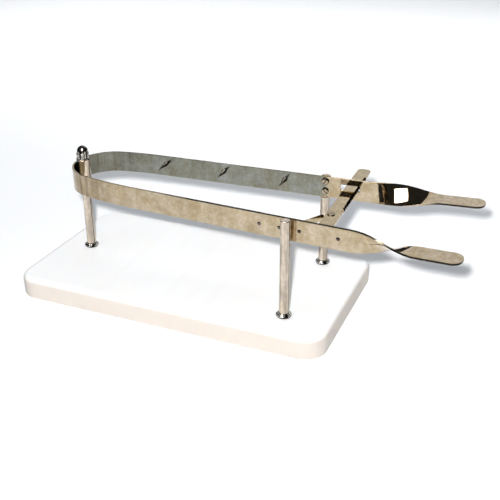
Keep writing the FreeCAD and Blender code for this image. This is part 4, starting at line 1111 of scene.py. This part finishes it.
class HAMHOLDER_OT_nose(Operator):
    """Build what the nose post carries: sleeve, washer, dome nut and the nose screw"""

    bl_idname = "ham_holder.nose"
    bl_label = "Nose fittings"

    def execute(self, context):
        ham = context.scene.ham_holder
        turned, screw, strap = ham.turned, ham.screw, ham.strap
        bore = turned.stud / 2 + turned.bore_gap
        for node, edge, finish, slot_name in (
                ("nose_sleeve", turned.sleeve_edge, sleeve_finish(), "post"),
                ("nose_washer", WORN_EDGE, chrome_finish(), "chrome")):
            x, y, foot, top, outer = measure(node)
            corners = [(bore, foot, 0), (outer, foot, edge), (outer, top, edge),
                       (bore, top, 0), (bore, foot, 0)]
            show(node, finish, slot_name, upright_lathe(corners, x, y, turned))
        x, y, foot, top = measure("dome_nut")[:4]
        points, uv = dome_nut(turned, foot, top)
        show("dome_nut", chrome_finish(), "chrome", (placed(points, upright(x, y, 0)), uv))

        post_x, post_y = measure("nose_post")[:2]
        lean = math.atan2(post_y - strap.nose_y, post_x - strap.nose_x)
        x, y = (strap.nose_radius + strap.thickness / 2) * unit(lean)
        place = upright(strap.nose_x + x, strap.nose_y + y, strap_middle(), lean + math.pi / 2)
        place = place @ Matrix.Rotation(math.pi / 2, 4, "X")
        show_screw("nose_screw", place, screw.nose_turn)
        return {"FINISHED"}


# ---------------------------------------------------------------- screws, spikes and rivets

def slotted_head(screw, place, height):
    """P(x, v): slices across a pan head at each x, with v round the slice. The top is a shallow
    dome lowered by the slot's depth between the slot's two walls, which run along y = constant."""
    radius, rim, slot = screw.head / 2, height * SCREW_RIM, screw.slot_width / 2
    outer = radius * np.sin(quarter(screw.rows // 2))
    outer = outer[outer > slot * SLOT_CLEAR]
    y = np.concatenate((-outer[::-1], (-slot, -slot, slot, slot), outer))
    sunk = np.zeros(len(y))
    sunk[len(outer) + 1:len(outer) + 3] = screw.slot_depth
    side = radius - SCREW_SIDE
    y = np.clip(y, -side, side)[:, None]
    x = np.sqrt(radius ** 2 - y ** 2) * np.linspace(-1, 1, screw.rows + 1)
    away = np.sqrt(x ** 2 + y ** 2) / radius
    top = rim + (height - rim) * np.sqrt(np.clip(1 - away ** 4, 0, 1)) - sunk[:, None]
    upper, under = columns(x, y, top), columns(x, y, 0 * x)[:, ::-1]
    points = np.concatenate((upper, under, upper[:, :1]), axis=1)
    return placed(points, place), points[..., :2].copy()


# The last argument is the share of painted shade round the head's rim.
def show_screw(node, place, turn, height=None, painted_rim_shade=1.0):
    screw = bpy.context.scene.ham_holder.screw
    head = slotted_head(screw, place @ upright(0, 0, 0, turn), height or screw.head_height)
    show(node, screw_finish(screw, painted_rim_shade), "fastener", head)


class HAMHOLDER_OT_screws(Operator):
    """Build the two slotted screws that hold the back arm to its post"""

    bl_idname = "ham_holder.screws"
    bl_label = "Post screws"

    def execute(self, context):
        strap, screw = context.scene.ham_holder.strap, context.scene.ham_holder.screw
        for node, rise, turn in (("upper_post_screw", screw.upper, screw.upper_turn),
                                 ("lower_post_screw", screw.lower, screw.lower_turn)):
            show_screw(node, arm_place(1, strap, screw.post_x, -strap.thickness / 2,
                                       strap_middle() + rise, math.pi / 2), turn)
        return {"FINISHED"}


class HAMHOLDER_OT_spikes(Operator):
    """Turn the three spikes, each a hollow-sided cone on a short foot, riveted through the arm"""

    bl_idname = "ham_holder.spikes"
    bl_label = "Spikes"

    def execute(self, context):
        strap, turned = context.scene.ham_holder.strap, context.scene.ham_holder.turned
        foot, tip, end = turned.spike / 2, turned.spike_tip / 2, turned.spike_length
        head, shank, back = turned.rivet_outer / 2, turned.rivet / 2, -strap.thickness
        root, rise = foot * SPIKE_ROOT, SPIKE_FOOT
        share = np.linspace(0, 1, SPIKE_POINTS)[1:]
        cone = columns(tip + (root - tip) * (1 - share) ** SPIKE_HOLLOW,
                       rise + (end - rise - tip) * share)
        bend = quarter(5)[1:]
        point = (0, end - tip) + tip * unit(bend)
        outside = back - turned.rivet_outer_height
        base = rounded_path([
            (0, outside, 0), (head, outside, 0.0003), (head, back, 0), (shank, back, 0),
            (shank, 0, 0), (foot, 0, 0.0002), (foot, rise - 0.0003, 0.0004), (root, rise, 0)])
        for index in range(3):
            place = arm_place(
                1, strap, turned.spike_first + index * turned.spike_pitch, -strap.thickness / 2,
                strap_middle() + turned.spike_lift, math.pi / 2)
            show("spike_%d" % (index + 1), spike_finish(), "spike",
                 lathe(np.vstack((base, cone, point)), place, turned.segments // 2))
        return {"FINISHED"}


class HAMHOLDER_OT_rivets(Operator):
    """Form the four rivets of leaf spring and bracket: flat head outside, round head inside"""

    bl_idname = "ham_holder.rivets"
    bl_label = "Rivets"

    def execute(self, context):
        strap, turned = context.scene.ham_holder.strap, context.scene.ham_holder.turned
        shank, outer, inner = turned.rivet / 2, turned.rivet_outer / 2, turned.rivet_inner / 2
        ahead, across = heading(strap, -1)
        bend = quarter(7)
        for node in ("leaf_rivet_1", "leaf_rivet_2", "bracket_rivet_1", "bracket_rivet_2"):
            x, y = measure(node)[:2]
            low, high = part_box(node)
            long = (high.y - low.y) / across[1] - outer * math.tan(strap.splay)
            grip = long - turned.rivet_outer_height - turned.rivet_inner_height
            profile = np.vstack((
                columns(outer * np.sin(bend), -turned.rivet_outer_height * np.cos(bend)),
                [(shank, 0), (shank, grip)],
                columns(inner * np.cos(bend), grip + turned.rivet_inner_height * np.sin(bend))))
            along = np.array((x, y + strap.front_offset)) @ ahead
            place = arm_place(-1, strap, along, -strap.thickness / 2, strap_middle(), -math.pi / 2)
            show(node, spike_finish(), "fastener", lathe(profile, place, turned.segments // 2))
        return {"FINISHED"}


# ---------------------------------------------------------------- latch

def latch_place(latch, x, y, z):
    """Place in the latch bar's own frame: origin on the pin, y along the bar."""
    return upright(latch.pivot_x, latch.pivot_y, 0, latch.tilt) @ upright(x, y, z)


def bar_outline(latch):
    """Corners (x, y, radius) of the bar, anticlockwise from its round end, with hooked teeth."""
    half = latch.width / 2
    corners = [(half * math.cos(a), half * math.sin(a), 0)
               for a in np.linspace(math.pi, 2 * math.pi, 25)]
    for index in range(latch.teeth):
        flank = latch.first_tooth + index * latch.pitch
        corners += [(half, flank - latch.pitch + latch.land, GULLET_ROUND),
                    (half - latch.depth, flank, GULLET_ROUND),
                    (half - latch.depth, flank + latch.undercut, 0),
                    (half, flank, TOOTH_ROUND)]
    return corners + [(half, latch.reach, latch.corner), (-half, latch.reach, latch.corner)]


class HAMHOLDER_OT_latch(Operator):
    """Build the latch bar with its hooked teeth, the latch pin, the stop screw and its nut"""

    bl_idname = "ham_holder.latch"
    bl_label = "Latch bar"

    def execute(self, context):
        ham = context.scene.ham_holder
        latch, screw, turned = ham.latch, ham.screw, ham.turned
        middle, half = strap_middle(), latch.thickness / 2
        pivot = latch_place(latch, 0, 0, middle)
        outline = rounded_path(bar_outline(latch), closed=True, steps=4)
        outline[:, 0] = np.clip(outline[:, 0], -latch.width / 2, latch.width / 2)
        show("latch_bar", latch_finish(), "latch", prism(outline, -half, half, latch.edge, pivot))

        foot, top = measure("latch_pin")[2:4]
        end, head, shank = (top - foot) / 2, latch.pin_head / 2, latch.pin / 2
        neck = end - latch.pin_head_height
        corners = [(0, -end, 0), (head, -end, PIN_EDGE), (head, -neck, 0), (shank, -neck, 0),
                   (shank, neck, 0), (head, neck, 0), (head, end, PIN_EDGE), (0, end, 0)]
        show("latch_pin", fastener_finish(), "fastener",
             lathe(rounded_path(corners), pivot, turned.segments // 2))

        place = latch_place(latch, latch.stop_offset, latch.stop_reach, middle + half)
        show_screw("latch_stop_screw", place, screw.stop_turn, screw.stop_height, 0.1)
        refine("latch_stop_nut", WORN_EDGE, fastener_finish())
        refine("latch_bracket", WORN_EDGE, latch_finish())
        return {"FINISHED"}


class HAMHOLDER_OT_leaf(Operator):
    """Bend the leaf spring from the front arm towards the latch bar"""

    bl_idname = "ham_holder.leaf"
    bl_label = "Leaf spring"

    def execute(self, context):
        strap, latch = context.scene.ham_holder.strap, context.scene.ham_holder.latch
        middle = strap_middle()
        line = (strap.thickness + latch.leaf_thickness) / 2
        straight = np.linspace(latch.leaf_start, latch.leaf_bend, LEAF_POINTS)
        bend = np.linspace(0, latch.leaf_turn, LEAF_POINTS + 3)[1:]
        radius = latch.leaf_bend_radius
        curve = columns(latch.leaf_bend + radius * np.sin(bend),
                        line + radius * (1 - np.cos(bend)))
        free = np.linspace(0, latch.leaf_free, LEAF_POINTS + 2)[1:, None]
        ahead = np.array((math.cos(latch.leaf_turn), math.sin(latch.leaf_turn)))
        plan = np.vstack((columns(straight, line), curve, curve[-1] + free * ahead))
        lean = np.concatenate((0 * straight, bend, latch.leaf_turn + 0 * free[:, 0]))
        from_end = run_lengths(plan)
        from_end = np.minimum(from_end, from_end[-1] - from_end)
        over = np.clip(1 - from_end / LEAF_ROUND_END, 0, 1)
        high = latch.leaf_height / 2 - LEAF_ROUND_END * (1 - np.sqrt(1 - over ** 2))
        level = np.zeros(len(plan))
        points, uv = strip(plan, columns(-np.sin(lean), np.cos(lean)), level + middle,
                           level + latch.leaf_thickness / 2, high, level, LEAF_EDGE, LEAF_ACROSS)
        points = placed(points, arm_place(-1, strap, 0, 0, 0))
        piece = build("latch-spring", [(points, uv)], latch_finish())
        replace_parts(piece, "latch_spring")
        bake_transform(piece)
        return {"FINISHED"}


# ---------------------------------------------------------------- stage

def lamp(name, kind, place, target, in_metal, **values):
    """A light aimed at a target. It shows in metal and lights nothing else, or the reverse."""
    light = bpy.data.lights.new(name, kind)
    for key, value in values.items():
        setattr(light, key, value)
    piece = in_scene(name, light)
    piece.location = place
    piece.rotation_euler = (Vector(target) - Vector(place)).to_track_quat("-Z", "Y").to_euler()
    piece.visible_diffuse, piece.visible_glossy = not in_metal, in_metal
    return light


def rectangle(width, depth, watts):
    return {"shape": "RECTANGLE", "size": width, "size_y": depth, "energy": watts}


class HAMHOLDER_OT_stage(Operator):
    """Set up the camera, a plain pale floor and soft studio light"""

    bl_idname = "ham_holder.stage"
    bl_label = "Stage"

    def execute(self, context):
        stage = context.scene.ham_holder.stage
        data = bpy.data.cameras.new("camera")
        data.lens, data.sensor_width = stage.lens, SENSOR_WIDTH
        camera = in_scene("camera", data)
        flat = math.cos(stage.elevation)
        back = Vector((math.sin(stage.azimuth) * flat, -math.cos(stage.azimuth) * flat,
                       math.sin(stage.elevation)))
        right = Vector((0, 0, 1)).cross(back).normalized()
        up = back.cross(right)
        turn = Matrix((right, up, back)).transposed().to_4x4() @ upright(0, 0, 0, stage.roll)
        camera.matrix_world = Matrix.Translation(stage.camera) @ turn
        context.scene.camera = camera

        paper, tree, shader = new_material("Paper sweep")
        clouds = use(tree, "Mottle", Vector=add(tree, "TexCoord").outputs["Object"], Scale=1.2)
        tone = blend(tree, clouds["Cloud"], (0.93, 0.93, 0.93, 1), (0.91, 0.91, 0.91, 1))
        tree.links.new(tone, shader.inputs["Base Color"])
        shader.inputs["Roughness"].default_value = 0.9
        shader.inputs["Specular IOR Level"].default_value = 0.1
        reach, drop, edge = stage.floor_size, -stage.floor_drop, -stage.floor_front
        for name, near, far, seen in (("floor", edge, reach, True), ("apron", -reach, edge, False)):
            mesh = bpy.data.meshes.new(name)
            mesh.from_pydata([(-reach, near, drop), (reach, near, drop), (reach, far, drop),
                              (-reach, far, drop)], [], [(0, 1, 2, 3)])
            mesh.materials.append(paper)
            sheet = in_scene(name, mesh)
            sheet.visible_glossy = seen

        lamp("window", "AREA", (0.008, -1.071, 1.508), (0.265, 0.083, 0.151), True,
             **rectangle(1.60, 1.50, 70.0))
        lamp("back wall", "AREA", (-0.55, 2.3, 1.5), (0.2, 0.0, 0.15), True,
             **rectangle(2.6, 1.7, 12.0))
        lamp("overhead", "SUN", (-0.3, 0.2, 2.0), (0, 0, 0), False, energy=stage.overhead,
             angle=math.radians(120), color=(0.75, 0.86, 1.0))
        lamp("backdrop", "AREA", (-0.3, 1.45, 0.95), (-0.3, 1.6, 0.0), False,
             **rectangle(3.5, 1.6, stage.backdrop))
        beside = Vector(stage.camera) - right * stage.flash_left + up * stage.flash_up
        flash = lamp("flash", "POINT", beside, (0, 0, 0), False, energy=stage.flash,
                     shadow_soft_size=stage.flash_size, use_nodes=True).node_tree
        even = add(flash, "LightFalloff", {"Strength": 1.0}).outputs["Constant"]
        flash.links.new(even, flash.nodes["Emission"].inputs["Strength"])
        context.scene.view_settings.view_transform = "Standard"

        world = bpy.data.worlds.new("studio")
        world.use_nodes = True
        tree = world.node_tree
        sky = tree.nodes["Background"].inputs
        sky["Color"].default_value = (0.97, 0.98, 1.0, 1)
        seen = add(tree, "LightPath").outputs["Is Camera Ray"]
        tree.links.new(fitted(tree, seen, stage.room, 1.0), sky["Strength"])
        context.scene.world = world
        return {"FINISHED"}


# ---------------------------------------------------------------- panel and registration

class HAMHOLDER_PT_panel(Panel):
    """Builds the ham holder piece by piece"""

    bl_idname = "HAMHOLDER_PT_panel"
    bl_label = "Ham holder"
    bl_space_type = "VIEW_3D"
    bl_region_type = "UI"
    bl_category = "Ham holder"

    def draw(self, context):
        column = self.layout.column(align=True)
        for operator in OPERATORS:
            column.operator(operator.bl_idname)
        settings = context.scene.ham_holder
        for group in ("strap", "slot", "turned", "screw", "latch", "stage"):
            box = self.layout.box()
            box.label(text=group.capitalize())
            values = getattr(settings, group)
            for name in values.bl_rna.properties.keys():
                if name not in ("rna_type", "name"):
                    box.prop(values, name)


OPERATORS = (
    HAMHOLDER_OT_board, HAMHOLDER_OT_posts, HAMHOLDER_OT_collars, HAMHOLDER_OT_nose,
    HAMHOLDER_OT_strap, HAMHOLDER_OT_screws, HAMHOLDER_OT_spikes, HAMHOLDER_OT_rivets,
    HAMHOLDER_OT_latch, HAMHOLDER_OT_leaf, HAMHOLDER_OT_stage,
)
CLASSES = (
    StrapSettings, SlotSettings, TurnedSettings, ScrewSettings, LatchSettings, StageSettings,
    HamHolderSettings, *OPERATORS, HAMHOLDER_PT_panel,
)


def register():
    for made in CLASSES:
        bpy.utils.register_class(made)
    bpy.types.Scene.ham_holder = PointerProperty(type=HamHolderSettings)


def unregister():
    del bpy.types.Scene.ham_holder
    for made in reversed(CLASSES):
        bpy.utils.unregister_class(made)


def main():
    """Builds every piece in order."""
    register()
    for operator in OPERATORS:
        group, name = operator.bl_idname.split(".")
        getattr(getattr(bpy.ops, group), name)()


if __name__ == "__main__":
    main()
